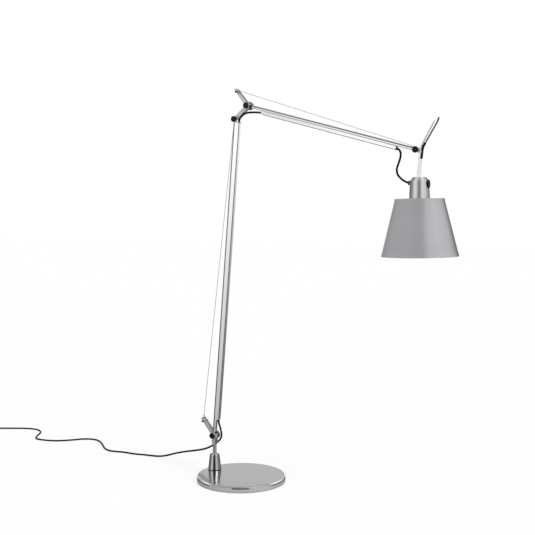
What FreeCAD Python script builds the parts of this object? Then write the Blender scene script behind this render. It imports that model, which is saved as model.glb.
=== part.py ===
"""Reading floor lamp with two spring-balanced arms, a round base and a fabric cone shade.

Frame: origin at the centre of the base's underside, +Z up, +X the way that the arms reach,
and the pivots of the arms along Y with their black knobs on the -Y side. Millimetres, degrees.

Each arm is drawn in a frame of its own: X runs from its near pivot to its far one and Z points
to the side of its tension cable. What turns about an axis is drawn about Z and then laid over.
"""
import FreeCAD, Part
import math
import os

import Sketcher

os.makedirs("parts", exist_ok=True)
doc = FreeCAD.newDocument("reading_floor_lamp")
sheet = doc.addObject("Spreadsheet::Sheet", "dims")
parts = []


# ---------------------------------------------------------------- sizes
class Size:
    """A number of the sheet, or a sum made of such numbers, with the expression that gives it."""

    def __init__(self, number, text=None):
        self.number = float(number)
        self.text = text or f"({number})"

    def __float__(self):
        return self.number

    def __add__(self, other):
        other = as_size(other)
        return Size(self.number + other.number, f"({self.text} + {other.text})")

    def __sub__(self, other):
        other = as_size(other)
        return Size(self.number - other.number, f"({self.text} - {other.text})")

    def __mul__(self, other):
        other = as_size(other)
        return Size(self.number * other.number, f"({self.text} * {other.text})")

    def __truediv__(self, other):
        other = as_size(other)
        return Size(self.number / other.number, f"({self.text} / {other.text})")

    def __radd__(self, other):
        return as_size(other) + self

    def __rsub__(self, other):
        return as_size(other) - self

    def __rmul__(self, other):
        return as_size(other) * self

    def __neg__(self):
        return 0 - self


def as_size(value):
    return value if isinstance(value, Size) else Size(value)


def size(name, number):
    """Write one driving dimension into the sheet under its own name."""
    size.row += 1
    sheet.set(f"A{size.row}", name)
    sheet.set(f"B{size.row}", str(number))
    sheet.setAlias(f"B{size.row}", name)
    return Size(number, f"dims.{name}")


size.row = 0

# fits
running_gap = size("running_gap", 0.05)
seat_gap = size("seat_gap", 0.1)
loose_gap = size("loose_gap", 0.3)

# base disc and the socket that stands on it
base_radius = size("base_radius", 115)
base_top = size("base_top", 16)
cover_wall = size("cover_wall", 1.2)
cover_rounding = size("cover_rounding", 2.6)
cover_lift = size("cover_lift", 1.0)
pad_thickness = size("pad_thickness", 1.5)
pad_inset = size("pad_inset", 4)
stem_inset = size("stem_inset", 26.7)
stem_x = stem_inset - base_radius
stem_y = size("stem_y", 11.1)
socket_foot_radius = size("socket_foot_radius", 17.2)
socket_top_radius = size("socket_top_radius", 12.6)
socket_height = size("socket_height", 41)
socket_foot_bevel = size("socket_foot_bevel", 1.8)
socket_rounding = size("socket_rounding", 1.5)
spigot_radius = size("spigot_radius", 8)
spigot_depth = size("spigot_depth", 6)
screw_radius = size("screw_radius", 4)
screw_head_radius = size("screw_head_radius", 6.5)
screw_head_height = size("screw_head_height", 4)
screw_reach = size("screw_reach", 10)
bush_wall = size("bush_wall", 1)
bush_floor_lift = size("bush_floor_lift", 8)

# stem and the fork on top of it
stem_radius = size("stem_radius", 5)
pivot_height = size("pivot_height", 107.8)
stem_spigot_radius = size("stem_spigot_radius", 3.6)
stem_spigot_length = size("stem_spigot_length", 8)
head_block_length = size("head_block_length", 16)
head_block_drop = size("head_block_drop", 8)
rivet_radius = size("rivet_radius", 1.5)
rivet_spacing = size("rivet_spacing", 8)

# arms: the lean of each one is measured in the photographed pose
lower_arm_length = size("lower_arm_length", 830.7)
lower_arm_lean_angle = size("lower_arm_lean_angle", 4.74)
upper_arm_length = size("upper_arm_length", 469.5)
upper_arm_droop_angle = size("upper_arm_droop_angle", 15.24)
arm_width = size("arm_width", 8.4)
rail_height = size("rail_height", 8)
duct_height = size("duct_height", 9)
arm_wall = size("arm_wall", 1.2)
rail_wall = size("rail_wall", 1)
arm_rounding = size("arm_rounding", 1.6)
rail_solid_end = size("rail_solid_end", 12)
lower_duct_start = size("lower_duct_start", 42)
lower_duct_end = size("lower_duct_end", 8.6)
upper_duct_start = size("upper_duct_start", 39)
upper_duct_end = size("upper_duct_end", 51)
lower_duct_slant = size("lower_duct_slant", 4)
upper_duct_slant = size("upper_duct_slant", 8)
cord_setback = size("cord_setback", 2.5)
cap_thickness = size("cap_thickness", 1.4)
cap_lip = size("cap_lip", 0.5)

# springs, pulleys and tension cables
anchor_distance = size("anchor_distance", 20)
anchor_head_radius = size("anchor_head_radius", 2.4)
anchor_head_height = size("anchor_head_height", 1.4)
lower_spring_length = size("lower_spring_length", 300)
upper_spring_length = size("upper_spring_length", 190)
spring_radius = size("spring_radius", 2.5)
spring_hook_radius = size("spring_hook_radius", 0.7)
spring_hook_length = size("spring_hook_length", 3)
cable_radius = size("cable_radius", 0.6)
pulley_distance = size("pulley_distance", 11)
pulley_rise = size("pulley_rise", 2)
pulley_bend_radius = size("pulley_bend_radius", 4)
pulley_flange = size("pulley_flange", 0.9)
pulley_width = size("pulley_width", 4.6)
pulley_rim_width = size("pulley_rim_width", 0.5)
pulley_slot_margin = size("pulley_slot_margin", 3)
pulley_pin_radius = size("pulley_pin_radius", 1)

# elbow link, levers and what they share with the fork
link_length = size("link_length", 48.6)
link_lean_angle = size("link_lean_angle", 47.88)
link_half_width = size("link_half_width", 5)
lever_lean_angle = size("lever_lean_angle", 39.3)
lever_length = size("lever_length", 54.2)
lever_root_radius = size("lever_root_radius", 4.4)
lever_tip_radius = size("lever_tip_radius", 2.7)
lever_pin_distance = size("lever_pin_distance", 46.4)
plate_inner = size("plate_inner", 5)
plate_thickness = size("plate_thickness", 2)
washer_radius = size("washer_radius", 5.5)
spacer_radius = size("spacer_radius", 3)
pin_overhang = size("pin_overhang", 7)
pin_cap_radius = size("pin_cap_radius", 2.3)
pin_cap_height = size("pin_cap_height", 1.8)
eye_width = size("eye_width", 3)

# pivot bolts, hub caps and knobs
bolt_radius = size("bolt_radius", 2.5)
bolt_head_radius = size("bolt_head_radius", 4.2)
bare_head_radius = size("bare_head_radius", 5.1)
bolt_head_height = size("bolt_head_height", 3)
bolt_reach = size("bolt_reach", 12.2)
hub_radius = size("hub_radius", 10.5)
hub_height = size("hub_height", 5.5)
hub_rounding = size("hub_rounding", 2)
knob_radius = size("knob_radius", 7.6)
knob_collar_radius = size("knob_collar_radius", 3.9)
knob_collar_height = size("knob_collar_height", 4.4)
knob_height = size("knob_height", 3.6)
knob_bevel = size("knob_bevel", 0.7)
knob_dish_radius = size("knob_dish_radius", 3.6)
knob_dish_depth = size("knob_dish_depth", 0.5)
knob_flutes = size("knob_flutes", 12)
knob_flute_radius = size("knob_flute_radius", 0.9)

# head: yoke, handle wire, cup, holder, bulb and shade
yoke_ear_radius = size("yoke_ear_radius", 6)
yoke_web_start = bare_head_radius + loose_gap
yoke_web_thickness = size("yoke_web_thickness", 3.6)
yoke_web_top = size("yoke_web_top", 3)
yoke_web_drop = size("yoke_web_drop", 7)
yoke_web_half_width = size("yoke_web_half_width", 8)
yoke_groove_setback = size("yoke_groove_setback", 0.5)
yoke_groove_gap = size("yoke_groove_gap", 0.85)
wire_radius = size("wire_radius", 2)
wire_half_gap = size("wire_half_gap", 7.25)
handle_half_width = size("handle_half_width", 12.5)
handle_bend_x = size("handle_bend_x", 10.8)
handle_bend_z = size("handle_bend_z", 5.2)
handle_lean_angle = size("handle_lean_angle", 29.8)
handle_length = size("handle_length", 79)
handle_bend_radius = size("handle_bend_radius", 34)
sleeve_wall = size("sleeve_wall", 0.9)
sleeve_below = size("sleeve_below", 26)
sleeve_above = size("sleeve_above", 12)
cup_x = size("cup_x", 6.3)
cup_drop = size("cup_drop", 63.8)
leg_x = size("leg_x", -2.6)
head_tilt_angle = size("head_tilt_angle", 1)
cup_top_radius = size("cup_top_radius", 15.5)
cup_shoulder_radius = size("cup_shoulder_radius", 22)
cup_shoulder_drop = size("cup_shoulder_drop", 8)
cup_mouth_radius = size("cup_mouth_radius", 24)
cup_height = size("cup_height", 49)
cup_wall = size("cup_wall", 1.6)
wire_inside = size("wire_inside", 3)
gland_drop = size("gland_drop", 17.9)
gland_tilt_angle = size("gland_tilt_angle", 12)
gland_boss_radius = size("gland_boss_radius", 4.2)
gland_boss_reach = size("gland_boss_reach", 24.6)
gland_disc_radius = size("gland_disc_radius", 5)
gland_disc_thickness = size("gland_disc_thickness", 2.4)
gland_stub_radius = size("gland_stub_radius", 3.3)
gland_stub_length = size("gland_stub_length", 4)
switch_drop = size("switch_drop", 16)
switch_radius = size("switch_radius", 10)
switch_flat = size("switch_flat", 21)
switch_flat_radius = size("switch_flat_radius", 11.4)
switch_height = size("switch_height", 6)
switch_stub_radius = size("switch_stub_radius", 3)
switch_stub_length = size("switch_stub_length", 2.4)
holder_nipple_radius = size("holder_nipple_radius", 4.5)
holder_top_drop = size("holder_top_drop", 14)
holder_radius = size("holder_radius", 17)
holder_flange_radius = size("holder_flange_radius", 21.4)
holder_flange_height = size("holder_flange_height", 3)
holder_skirt_radius = size("holder_skirt_radius", 19)
holder_skirt_length = size("holder_skirt_length", 12)
holder_bore_radius = size("holder_bore_radius", 13.8)
holder_bore_depth = size("holder_bore_depth", 30)
holder_ring_radius = size("holder_ring_radius", 23)
holder_ring_height = size("holder_ring_height", 5)
bulb_cap_radius = size("bulb_cap_radius", 13.3)
bulb_cap_length = holder_bore_depth + seat_gap
bulb_neck_length = size("bulb_neck_length", 28)
bulb_radius = size("bulb_radius", 30)
bulb_wall = size("bulb_wall", 1)
bulb_vent_radius = size("bulb_vent_radius", 3)
shade_top_radius = size("shade_top_radius", 57)
shade_bottom_radius = size("shade_bottom_radius", 90)
shade_height = size("shade_height", 134)
shade_wall = size("shade_wall", 0.9)
shade_top_drop = size("shade_top_drop", 50)
shade_wire_radius = size("shade_wire_radius", 1.3)
spider_thickness = size("spider_thickness", 1.6)
spider_arm_width = size("spider_arm_width", 6)
spider_arms = size("spider_arms", 3)
spider_start = size("spider_start", 60)
frame_weld = size("frame_weld", 0.4)

# lead and plug
cord_radius = size("cord_radius", 2.5)
coil_entry_x = size("coil_entry_x", -924)
coil_entry_y = size("coil_entry_y", 88)
coil_heading = size("coil_heading", 212)
coil_radius = size("coil_radius", 27.3)
coil_step = size("coil_step", 5.5)
coil_turns = size("coil_turns", 6)
coil_tail = size("coil_tail", 26)
relief_radius = size("relief_radius", 3.6)
relief_length = size("relief_length", 12)
plug_length = size("plug_length", 36)
plug_width = size("plug_width", 32)
plug_nose_width = size("plug_nose_width", 26)
plug_tail_width = size("plug_tail_width", 14.4)
plug_waist = size("plug_waist", 14.4)
plug_rounding = size("plug_rounding", 3)
plug_pin_radius = size("plug_pin_radius", 2)
plug_pin_length = size("plug_pin_length", 19)
plug_pin_spacing = size("plug_pin_spacing", 19)
doc.recompute()

# heights of the stack on each pivot, counted from the arms' plane
plate_outer = plate_inner + plate_thickness
arm_half_width = arm_width / 2
rail_half_height = rail_height / 2
duct_floor = rail_half_height + duct_height
cord_drop = duct_floor - arm_wall - cord_radius - seat_gap
bore_radius = bolt_radius + running_gap


# ---------------------------------------------------------------- drawing helpers
def vec(x, y, z=0):
    return FreeCAD.Vector(float(x), float(y), float(z))


def turn(axis, degrees):
    return FreeCAD.Rotation(axis, float(degrees))


AXIS_X = vec(1, 0, 0)
AXIS_Y = vec(0, 1, 0)
AXIS_Z = vec(0, 0, 1)


def bind(thing, name, value):
    thing.setExpression(name, as_size(value).text)


def new_body(label, frame):
    body = doc.addObject("PartDesign::Body", label)
    body.Label = label
    body.Placement = frame
    parts.append(body)
    return body


def plain_part(label, frame, shape):
    """A piece whose shape is made straight from the sizes: cords, cables and bent wire."""
    piece = doc.addObject("Part::Feature", label)
    piece.Label = label
    piece.Shape = shape
    piece.Placement = frame
    parts.append(piece)
    return piece


def sketch_on(body, role, offset=None):
    """A sketch on one of the body's own origin planes; offset moves it along and about the normal."""
    plane = [feature for feature in body.Origin.OriginFeatures if feature.Role == role][0]
    sketch = body.newObject("Sketcher::SketchObject", body.Name + "_sketch")
    sketch.AttachmentSupport = [(plane, "")]
    sketch.MapMode = "FlatFace"
    if offset is not None:
        sketch.AttachmentOffset = offset
    return sketch


def lifted(distance):
    """An offset along the sketch plane's normal."""
    return FreeCAD.Placement(vec(0, 0, distance), FreeCAD.Rotation())


def hold_point(sketch, geometry, point, x, y):
    """Tie a point to the sketch's origin by its two distances, each bound to the sheet."""
    for kind, value in (("DistanceX", x), ("DistanceY", y)):
        index = sketch.addConstraint(Sketcher.Constraint(kind, -1, 1, geometry, point, float(value)))
        bind(sketch, f"Constraints[{index}]", value)


def hold_radius(sketch, geometry, radius):
    index = sketch.addConstraint(Sketcher.Constraint("Radius", geometry, float(radius)))
    bind(sketch, f"Constraints[{index}]", radius)


def draw_outline(sketch, points):
    """A closed outline of straight lines, every corner held."""
    first = sketch.GeometryCount
    corners = [vec(x, y) for x, y in points]
    count = len(corners)
    for k in range(count):
        sketch.addGeometry(Part.LineSegment(corners[k], corners[(k + 1) % count]), False)
    for k in range(count):
        after = first + (k + 1) % count
        sketch.addConstraint(Sketcher.Constraint("Coincident", first + k, 2, after, 1))
    for k, (x, y) in enumerate(points):
        hold_point(sketch, first + k, 1, x, y)


def draw_circle(sketch, x, y, radius):
    index = sketch.addGeometry(Part.Circle(vec(x, y), AXIS_Z, float(radius)), False)
    hold_point(sketch, index, 3, x, y)
    hold_radius(sketch, index, radius)


def draw_bar(sketch, length, start_radius, end_radius):
    """A bar with round ends along the sketch's X axis, from the origin to the length given."""
    span = float(length)
    first, last = float(start_radius), float(end_radius)
    slope = math.asin((first - last) / span)
    lean = vec(math.sin(slope), math.cos(slope))
    mirrored = vec(lean.x, -lean.y)
    far = vec(span, 0)
    start_arc = Part.ArcOfCircle(
        Part.Circle(vec(0, 0), AXIS_Z, first), math.pi / 2 - slope, 3 * math.pi / 2 + slope)
    end_arc = Part.ArcOfCircle(
        Part.Circle(far, AXIS_Z, last), slope - math.pi / 2, math.pi / 2 - slope)
    top_line = Part.LineSegment(far + lean * last, lean * first)
    bottom_line = Part.LineSegment(mirrored * first, far + mirrored * last)
    near_end, top, far_end, bottom = [
        sketch.addGeometry(shape, False) for shape in (start_arc, top_line, end_arc, bottom_line)]
    for one, end, other, start in (
            (top, 2, near_end, 1), (near_end, 2, bottom, 1), (bottom, 2, far_end, 1), (far_end, 2, top, 1)):
        sketch.addConstraint(Sketcher.Constraint("Tangent", one, end, other, start))
    hold_point(sketch, near_end, 3, 0, 0)
    hold_point(sketch, far_end, 3, length, 0)
    hold_radius(sketch, near_end, start_radius)
    hold_radius(sketch, far_end, end_radius)


def pad(body, sketch, length, both_ways=False):
    feature = body.newObject("PartDesign::Pad", body.Name + "_pad")
    feature.Profile = sketch
    feature.SideType = "Symmetric" if both_ways else "One side"
    bind(feature, "Length", length)
    return feature


def cut(body, sketch, length=None, both_ways=False, forwards=False):
    """A pocket along the sketch's normal, or through everything, checked to take material away."""
    doc.recompute()
    before = body.Shape.Volume
    feature = body.newObject("PartDesign::Pocket", body.Name + "_cut")
    feature.Profile = sketch
    feature.SideType = "Symmetric" if both_ways else "One side"
    feature.Reversed = forwards
    if length is None:
        feature.Type = "ThroughAll"
    else:
        bind(feature, "Length", length)
    doc.recompute()
    if body.Shape.Volume > before - 0.01:
        raise RuntimeError(f"{body.Label}: a pocket took nothing away")
    return feature


def soften(body, kind, test, amount):
    """Round or bevel the edges that pass the test."""
    doc.recompute()
    softened = body.Tip
    names = [f"Edge{k + 1}" for k, edge in enumerate(softened.Shape.Edges) if test(edge)]
    if not names:
        raise RuntimeError(f"{body.Label}: no edge to soften")
    feature = body.newObject(f"PartDesign::{kind}", body.Name + "_soft")
    feature.Base = (softened, names)
    bind(feature, "Radius" if kind == "Fillet" else "Size", amount)
    return feature


def ring_edge(radius, height):
    """A test for the round edge of this radius at this height on a turned piece."""
    def test(edge):
        curve = edge.Curve
        return (isinstance(curve, Part.Circle) and abs(curve.Radius - float(radius)) < 0.01
                and abs(edge.BoundBox.ZMin - float(height)) < 0.01 and edge.BoundBox.ZLength < 0.01)
    return test


def turned(label, frame, outline):
    """A piece turned about its own Z: the outline holds radius and height."""
    body = new_body(label, frame)
    sketch = sketch_on(body, "XZ_Plane")
    draw_outline(sketch, outline)
    feature = body.newObject("PartDesign::Revolution", body.Name + "_turn")
    feature.Profile = sketch
    feature.ReferenceAxis = (sketch, ["V_Axis"])
    feature.Angle = 360
    return body


def pin_shape(start, end, radius):
    """A plain round pin between two points."""
    reach = end - start
    return Part.makeCylinder(float(radius), reach.Length, start, reach)


def corner_arc(start, corner, end):
    """The arc that touches both lines of a corner at points equally far from it."""
    middle = (start + end) / 2
    inward = middle - corner
    reach = (start - corner).Length
    radius = reach * (start - middle).Length / inward.Length
    top = corner + inward.normalize() * (math.hypot(radius, reach) - radius)
    return Part.Arc(start, top, end).toShape()


def rounded_path(points, radii):
    """Straight runs through the points, joined by tangent arcs of the radii given."""
    edges = []
    here = points[0]
    for before, corner, after, radius in zip(points, points[1:], points[2:], radii):
        into = (corner - before).normalize()
        out = (after - corner).normalize()
        reach = radius * math.tan(into.getAngle(out) / 2)
        start = corner - into * reach
        end = corner + out * reach
        if (start - here).Length > 0.001:
            edges.append(Part.LineSegment(here, start).toShape())
        edges.append(corner_arc(start, corner, end))
        here = end
    edges.append(Part.LineSegment(here, points[-1]).toShape())
    return Part.Wire(edges)


def tube(wire, radius):
    """A round solid along a path, its volume compared with its section times its length."""
    start = wire.Edges[0].valueAt(wire.Edges[0].FirstParameter)
    along = wire.Edges[0].tangentAt(wire.Edges[0].FirstParameter)
    section = Part.Wire(Part.makeCircle(float(radius), start, along))
    solid = wire.makePipeShell([section], True, False)
    expected = math.pi * float(radius) ** 2 * wire.Length
    if abs(solid.Volume - expected) > 0.02 * expected:
        raise RuntimeError(f"a tube of {solid.Volume:.0f} instead of {expected:.0f}")
    return solid


def cord_arcs(points):
    """The bend at each inner point: 0.45 of the shorter run over the tangent of half the turn."""
    radii = []
    for before, corner, after in zip(points, points[1:], points[2:]):
        into = corner - before
        out = after - corner
        half = into.getAngle(out) / 2
        radii.append(0.45 * min(into.Length, out.Length) / math.tan(half))
    return radii


def cord(label, frame, points):
    """A free stretch of the lead through points chosen by hand."""
    radii = cord_arcs(points)
    path = rounded_path(points, radii)
    runs = [(b - a).Length for a, b in zip(points, points[1:])]
    print(f"{label}: length {path.Length:.1f}, runs {min(runs):.0f} to {max(runs):.0f},"
          f" bends {' '.join(f'{radius:.0f}' for radius in radii)}")
    return plain_part(label, frame, tube(path, cord_radius))


# ---------------------------------------------------------------- places
def at(x, z, angle=0):
    """A frame in the arms' plane, turned about Y."""
    return FreeCAD.Placement(vec(x, stem_y, z), turn(AXIS_Y, angle))


def across(x, z):
    """A frame on a pivot whose Z points out of the knobs' side."""
    return FreeCAD.Placement(vec(x, stem_y, z), turn(AXIS_X, 90))


def step(start, length, lean):
    """The point at a distance from another, the lean counted from upright towards +X."""
    angle = math.radians(float(lean))
    return (start[0] + float(length) * math.sin(angle), start[1] + float(length) * math.cos(angle))


foot_pivot = (float(stem_x), float(pivot_height))
elbow_low = step(foot_pivot, lower_arm_length, lower_arm_lean_angle)
elbow_high = step(elbow_low, link_length, link_lean_angle)
head_pivot = step(elbow_high, upper_arm_length, 90 + float(upper_arm_droop_angle))

ROOM = FreeCAD.Placement()
STEM = FreeCAD.Placement(vec(stem_x, stem_y, 0), FreeCAD.Rotation())
LOWER = at(*foot_pivot, float(lower_arm_lean_angle) - 90)
LINK = at(*elbow_low, float(link_lean_angle) - 90)
UPPER = at(*elbow_high, float(upper_arm_droop_angle))
HEAD = at(*head_pivot)
CUP = at(head_pivot[0] + float(cup_x), head_pivot[1] - float(cup_drop), -float(head_tilt_angle))
foot_fork = at(*foot_pivot, 90)
GLAND = CUP.multiply(FreeCAD.Placement(vec(0, 0, -gland_drop), turn(AXIS_Y, float(gland_tilt_angle) - 90)))


# ---------------------------------------------------------------- base
def make_base():
    """A thin polished cover over a heavy disc on a soft pad."""
    inner = base_radius - cover_wall
    ceiling = base_top - cover_wall
    cover = turned("base_cover", ROOM, [
        (0, base_top), (base_radius, base_top), (base_radius, cover_lift),
        (inner, cover_lift), (inner, ceiling), (0, ceiling)])
    soften(cover, "Fillet", ring_edge(base_radius, base_top), cover_rounding)
    hole = sketch_on(cover, "XY_Plane")
    draw_circle(hole, stem_x, stem_y, spigot_radius + seat_gap)
    cut(cover, hole, forwards=True)

    weight = turned("base_weight", ROOM, [
        (0, ceiling), (inner - loose_gap, ceiling), (inner - loose_gap, pad_thickness), (0, pad_thickness)])
    seat = sketch_on(weight, "XY_Plane", lifted(base_top - spigot_depth))
    draw_circle(seat, stem_x, stem_y, spigot_radius + seat_gap)
    cut(weight, seat, forwards=True)
    shank = sketch_on(weight, "XY_Plane")
    draw_circle(shank, stem_x, stem_y, screw_radius + loose_gap)
    cut(weight, shank, forwards=True)
    sink = sketch_on(weight, "XY_Plane")
    draw_circle(sink, stem_x, stem_y, screw_head_radius + loose_gap)
    cut(weight, sink, pad_thickness + screw_head_height + loose_gap, forwards=True)

    turned("base_pad", ROOM, [
        (0, 0), (base_radius - pad_inset, 0), (base_radius - pad_inset, pad_thickness), (0, pad_thickness)])


def make_socket():
    """The conical socket, the screw that holds it from below and the bush that the stem turns in."""
    foot = base_top
    crown = base_top + socket_height
    spigot_foot = base_top - spigot_depth
    screw_top = spigot_foot + screw_reach
    bush_foot = base_top + bush_floor_lift
    bush_radius = stem_radius + running_gap + bush_wall
    socket = turned("stem_socket", STEM, [
        (screw_radius + seat_gap, spigot_foot), (spigot_radius, spigot_foot), (spigot_radius, foot),
        (socket_foot_radius - socket_foot_bevel, foot), (socket_foot_radius, foot + socket_foot_bevel),
        (socket_top_radius, crown), (bush_radius + seat_gap, crown), (bush_radius + seat_gap, bush_foot),
        (0, bush_foot), (0, screw_top), (screw_radius + seat_gap, screw_top)])
    soften(socket, "Fillet", ring_edge(socket_top_radius, crown), socket_rounding)

    head_top = pad_thickness + screw_head_height + loose_gap
    turned("socket_screw", STEM, [
        (0, head_top - screw_head_height), (screw_head_radius, head_top - screw_head_height),
        (screw_head_radius, head_top), (screw_radius, head_top),
        (screw_radius, screw_top - loose_gap), (0, screw_top - loose_gap)])

    turned("socket_bush", STEM, [
        (0, bush_foot), (bush_radius, bush_foot), (bush_radius, crown),
        (stem_radius + running_gap, crown), (stem_radius + running_gap, bush_foot + bush_wall),
        (0, bush_foot + bush_wall)])
    return bush_foot + bush_wall + running_gap


# ---------------------------------------------------------------- fork plates and levers
def lever_plates(prefix, frame, strut, lever_start, lever_turn, holes):
    """The two plates of a fork: a strut and a lever blade that meet at an angle, and their holes."""
    for side, start in (("near", plate_inner), ("far", -plate_outer)):
        body = new_body(f"{prefix}_plate_{side}", frame)
        strut_sketch = sketch_on(body, "XZ_Plane", lifted(start))
        draw_bar(strut_sketch, strut, link_half_width, link_half_width)
        pad(body, strut_sketch, plate_thickness)
        blade = sketch_on(body, "XZ_Plane", FreeCAD.Placement(
            vec(lever_start, 0, start), turn(AXIS_Z, lever_turn)))
        draw_bar(blade, lever_length, lever_root_radius, lever_tip_radius)
        for distance in (lever_pin_distance, lever_length):
            draw_circle(blade, distance, 0, rivet_radius + running_gap)
        pad(body, blade, plate_thickness)
        bores = sketch_on(body, "XZ_Plane")
        for x, radius in holes:
            draw_circle(bores, x, 0, radius)
        cut(body, bores, both_ways=True)


def lever_pins(label, frame, lever_start, lever_turn, more, spacers):
    """The cross pins of a lever: one at the tip for the cable's eye and one with a black end cap.

    More pins go through both plates and spacers stand between them."""
    direction = turn(AXIS_Y, -float(lever_turn)).multVec(AXIS_X)
    origin = vec(lever_start, 0, 0)
    half = float(plate_outer)
    tip = origin + direction * float(lever_length)
    capped = origin + direction * float(lever_pin_distance)
    side = vec(0, half, 0)
    overhang = vec(0, pin_overhang, 0)
    cap = vec(0, pin_cap_height, 0)
    pin = pin_shape(capped + side + overhang, capped - side - overhang, rivet_radius)
    end_cap = pin_shape(capped - side - overhang + cap, capped - side - overhang, pin_cap_radius)
    solids = [pin_shape(tip + side, tip - side, rivet_radius), pin.fuse(end_cap).removeSplitter()]
    solids += [pin_shape(vec(x, half, 0), vec(x, -half, 0), rivet_radius) for x in more]
    gap = plate_inner
    solids += [pin_shape(vec(x, gap, 0), vec(x, -gap, 0), spacer_radius) for x in spacers]
    plain_part(label, frame, Part.Compound(solids))


def pivot_bolt(label, pivot, head_radius):
    """A bolt through the plates, its head on the far side and its thread in the knob."""
    turned(label, across(*pivot), [
        (0, -plate_outer - bolt_head_height), (head_radius, -plate_outer - bolt_head_height),
        (head_radius, -plate_outer), (bolt_radius, -plate_outer), (bolt_radius, bolt_reach), (0, bolt_reach)])


def hub_cap(label, pivot):
    """The round polished cap over a bolt's head."""
    top = plate_outer + hub_height
    recess = bolt_head_radius + seat_gap
    cap = turned(label, across(*pivot), [
        (recess, -plate_outer), (hub_radius, -plate_outer), (hub_radius, -top), (0, -top),
        (0, -plate_outer - bolt_head_height), (recess, -plate_outer - bolt_head_height)])
    soften(cap, "Fillet", ring_edge(hub_radius, -top), hub_rounding)


def washers(label, frame, places):
    """Thin washers between the arm and the plates, the same on every pivot."""
    thickness = plate_inner - arm_half_width - running_gap
    solids = []
    for x in places:
        for side in (-1, 1):
            start = vec(x, side * float(plate_inner), 0)
            end = vec(x, side * (float(plate_inner) - float(thickness)), 0)
            ring = pin_shape(start, end, washer_radius).cut(pin_shape(start, end, bore_radius))
            solids.append(ring)
    plain_part(label, frame, Part.Compound(solids))


def knob(label, pivot):
    """A black friction knob: a flat disc on a slender collar, with a dished face and a fluted rim."""
    foot = plate_outer + running_gap
    neck = foot + knob_collar_height
    face = neck + knob_height
    thread = bolt_radius + running_gap
    body = turned(label, across(*pivot), [
        (thread, foot), (knob_collar_radius, foot), (knob_collar_radius, neck),
        (knob_radius - knob_bevel, neck), (knob_radius, neck + knob_bevel),
        (knob_radius, face - knob_bevel), (knob_radius - knob_bevel, face), (knob_dish_radius, face),
        (knob_dish_radius - knob_dish_depth, face - knob_dish_depth), (0, face - knob_dish_depth),
        (0, bolt_reach + seat_gap), (thread, bolt_reach + seat_gap)])
    sketch = sketch_on(body, "XY_Plane", lifted(neck))
    draw_circle(sketch, knob_radius + knob_flute_radius / 2, 0, knob_flute_radius)
    flute = cut(body, sketch, knob_height, forwards=True)
    pattern = body.newObject("PartDesign::PolarPattern", body.Name + "_flutes")
    pattern.Originals = [flute]
    pattern.Axis = (sketch, ["N_Axis"])
    pattern.Angle = 360
    bind(pattern, "Occurrences", knob_flutes)
    body.Tip = pattern


def make_stem(rod_foot):
    """The stem and the fork on it that carries the lower arm and its cable's lever."""
    block_top = pivot_height - head_block_drop
    block_foot = block_top - head_block_length
    first_rivet = head_block_drop + (head_block_length - rivet_spacing) / 2
    rivet_places = [first_rivet, first_rivet + rivet_spacing]
    rod = turned("stem_rod", STEM, [
        (0, rod_foot), (stem_radius, rod_foot), (stem_radius, block_foot),
        (stem_spigot_radius, block_foot), (stem_spigot_radius, block_foot + stem_spigot_length),
        (0, block_foot + stem_spigot_length)])
    rod_rivet = sketch_on(rod, "XZ_Plane")
    draw_circle(rod_rivet, 0, pivot_height - rivet_places[1], rivet_radius + running_gap)
    cut(rod, rod_rivet, both_ways=True)

    block = new_body("stem_fork_block", STEM)
    sketch = sketch_on(block, "XY_Plane", lifted(block_foot))
    draw_outline(sketch, [
        (-stem_radius, -plate_inner), (stem_radius, -plate_inner),
        (stem_radius, plate_inner), (-stem_radius, plate_inner)])
    pad(block, sketch, head_block_length)
    bore = sketch_on(block, "XY_Plane")
    draw_circle(bore, 0, 0, stem_spigot_radius + seat_gap)
    cut(block, bore, block_foot + stem_spigot_length, forwards=True)
    rivets = sketch_on(block, "XZ_Plane")
    for x in rivet_places:
        draw_circle(rivets, 0, pivot_height - x, rivet_radius + running_gap)
    cut(block, rivets, both_ways=True)

    strut = head_block_drop + head_block_length - link_half_width
    lever_turn = 180 + lever_lean_angle
    holes = [(as_size(0), bore_radius)] + [(x, rivet_radius + running_gap) for x in rivet_places]
    lever_plates("base_lever", foot_fork, strut, 0, lever_turn, holes)
    lever_pins("base_lever_pins", foot_fork, 0, lever_turn, rivet_places, [])
    pivot_bolt("foot_pivot_bolt", foot_pivot, bolt_head_radius)
    hub_cap("foot_hub_cap", foot_pivot)
    washers("foot_washers", foot_fork, [0])
    knob("foot_knob", foot_pivot)


def make_elbow():
    """The link between the arms, whose upper end also carries the lever of the upper cable."""
    lever_turn = link_lean_angle + lever_lean_angle
    holes = [(as_size(0), bore_radius), (link_length, bore_radius)]
    lever_plates("elbow", LINK, link_length, link_length, lever_turn, holes)
    lever_pins("elbow_lever_pins", LINK, link_length, lever_turn, [], [link_length / 2])
    pivot_bolt("elbow_low_bolt", elbow_low, bare_head_radius)
    pivot_bolt("elbow_high_bolt", elbow_high, bolt_head_radius)
    hub_cap("elbow_hub_cap", elbow_high)
    washers("elbow_washers", LINK, [0, float(link_length)])
    knob("elbow_low_knob", elbow_low)
    knob("elbow_high_knob", elbow_high)


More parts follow.
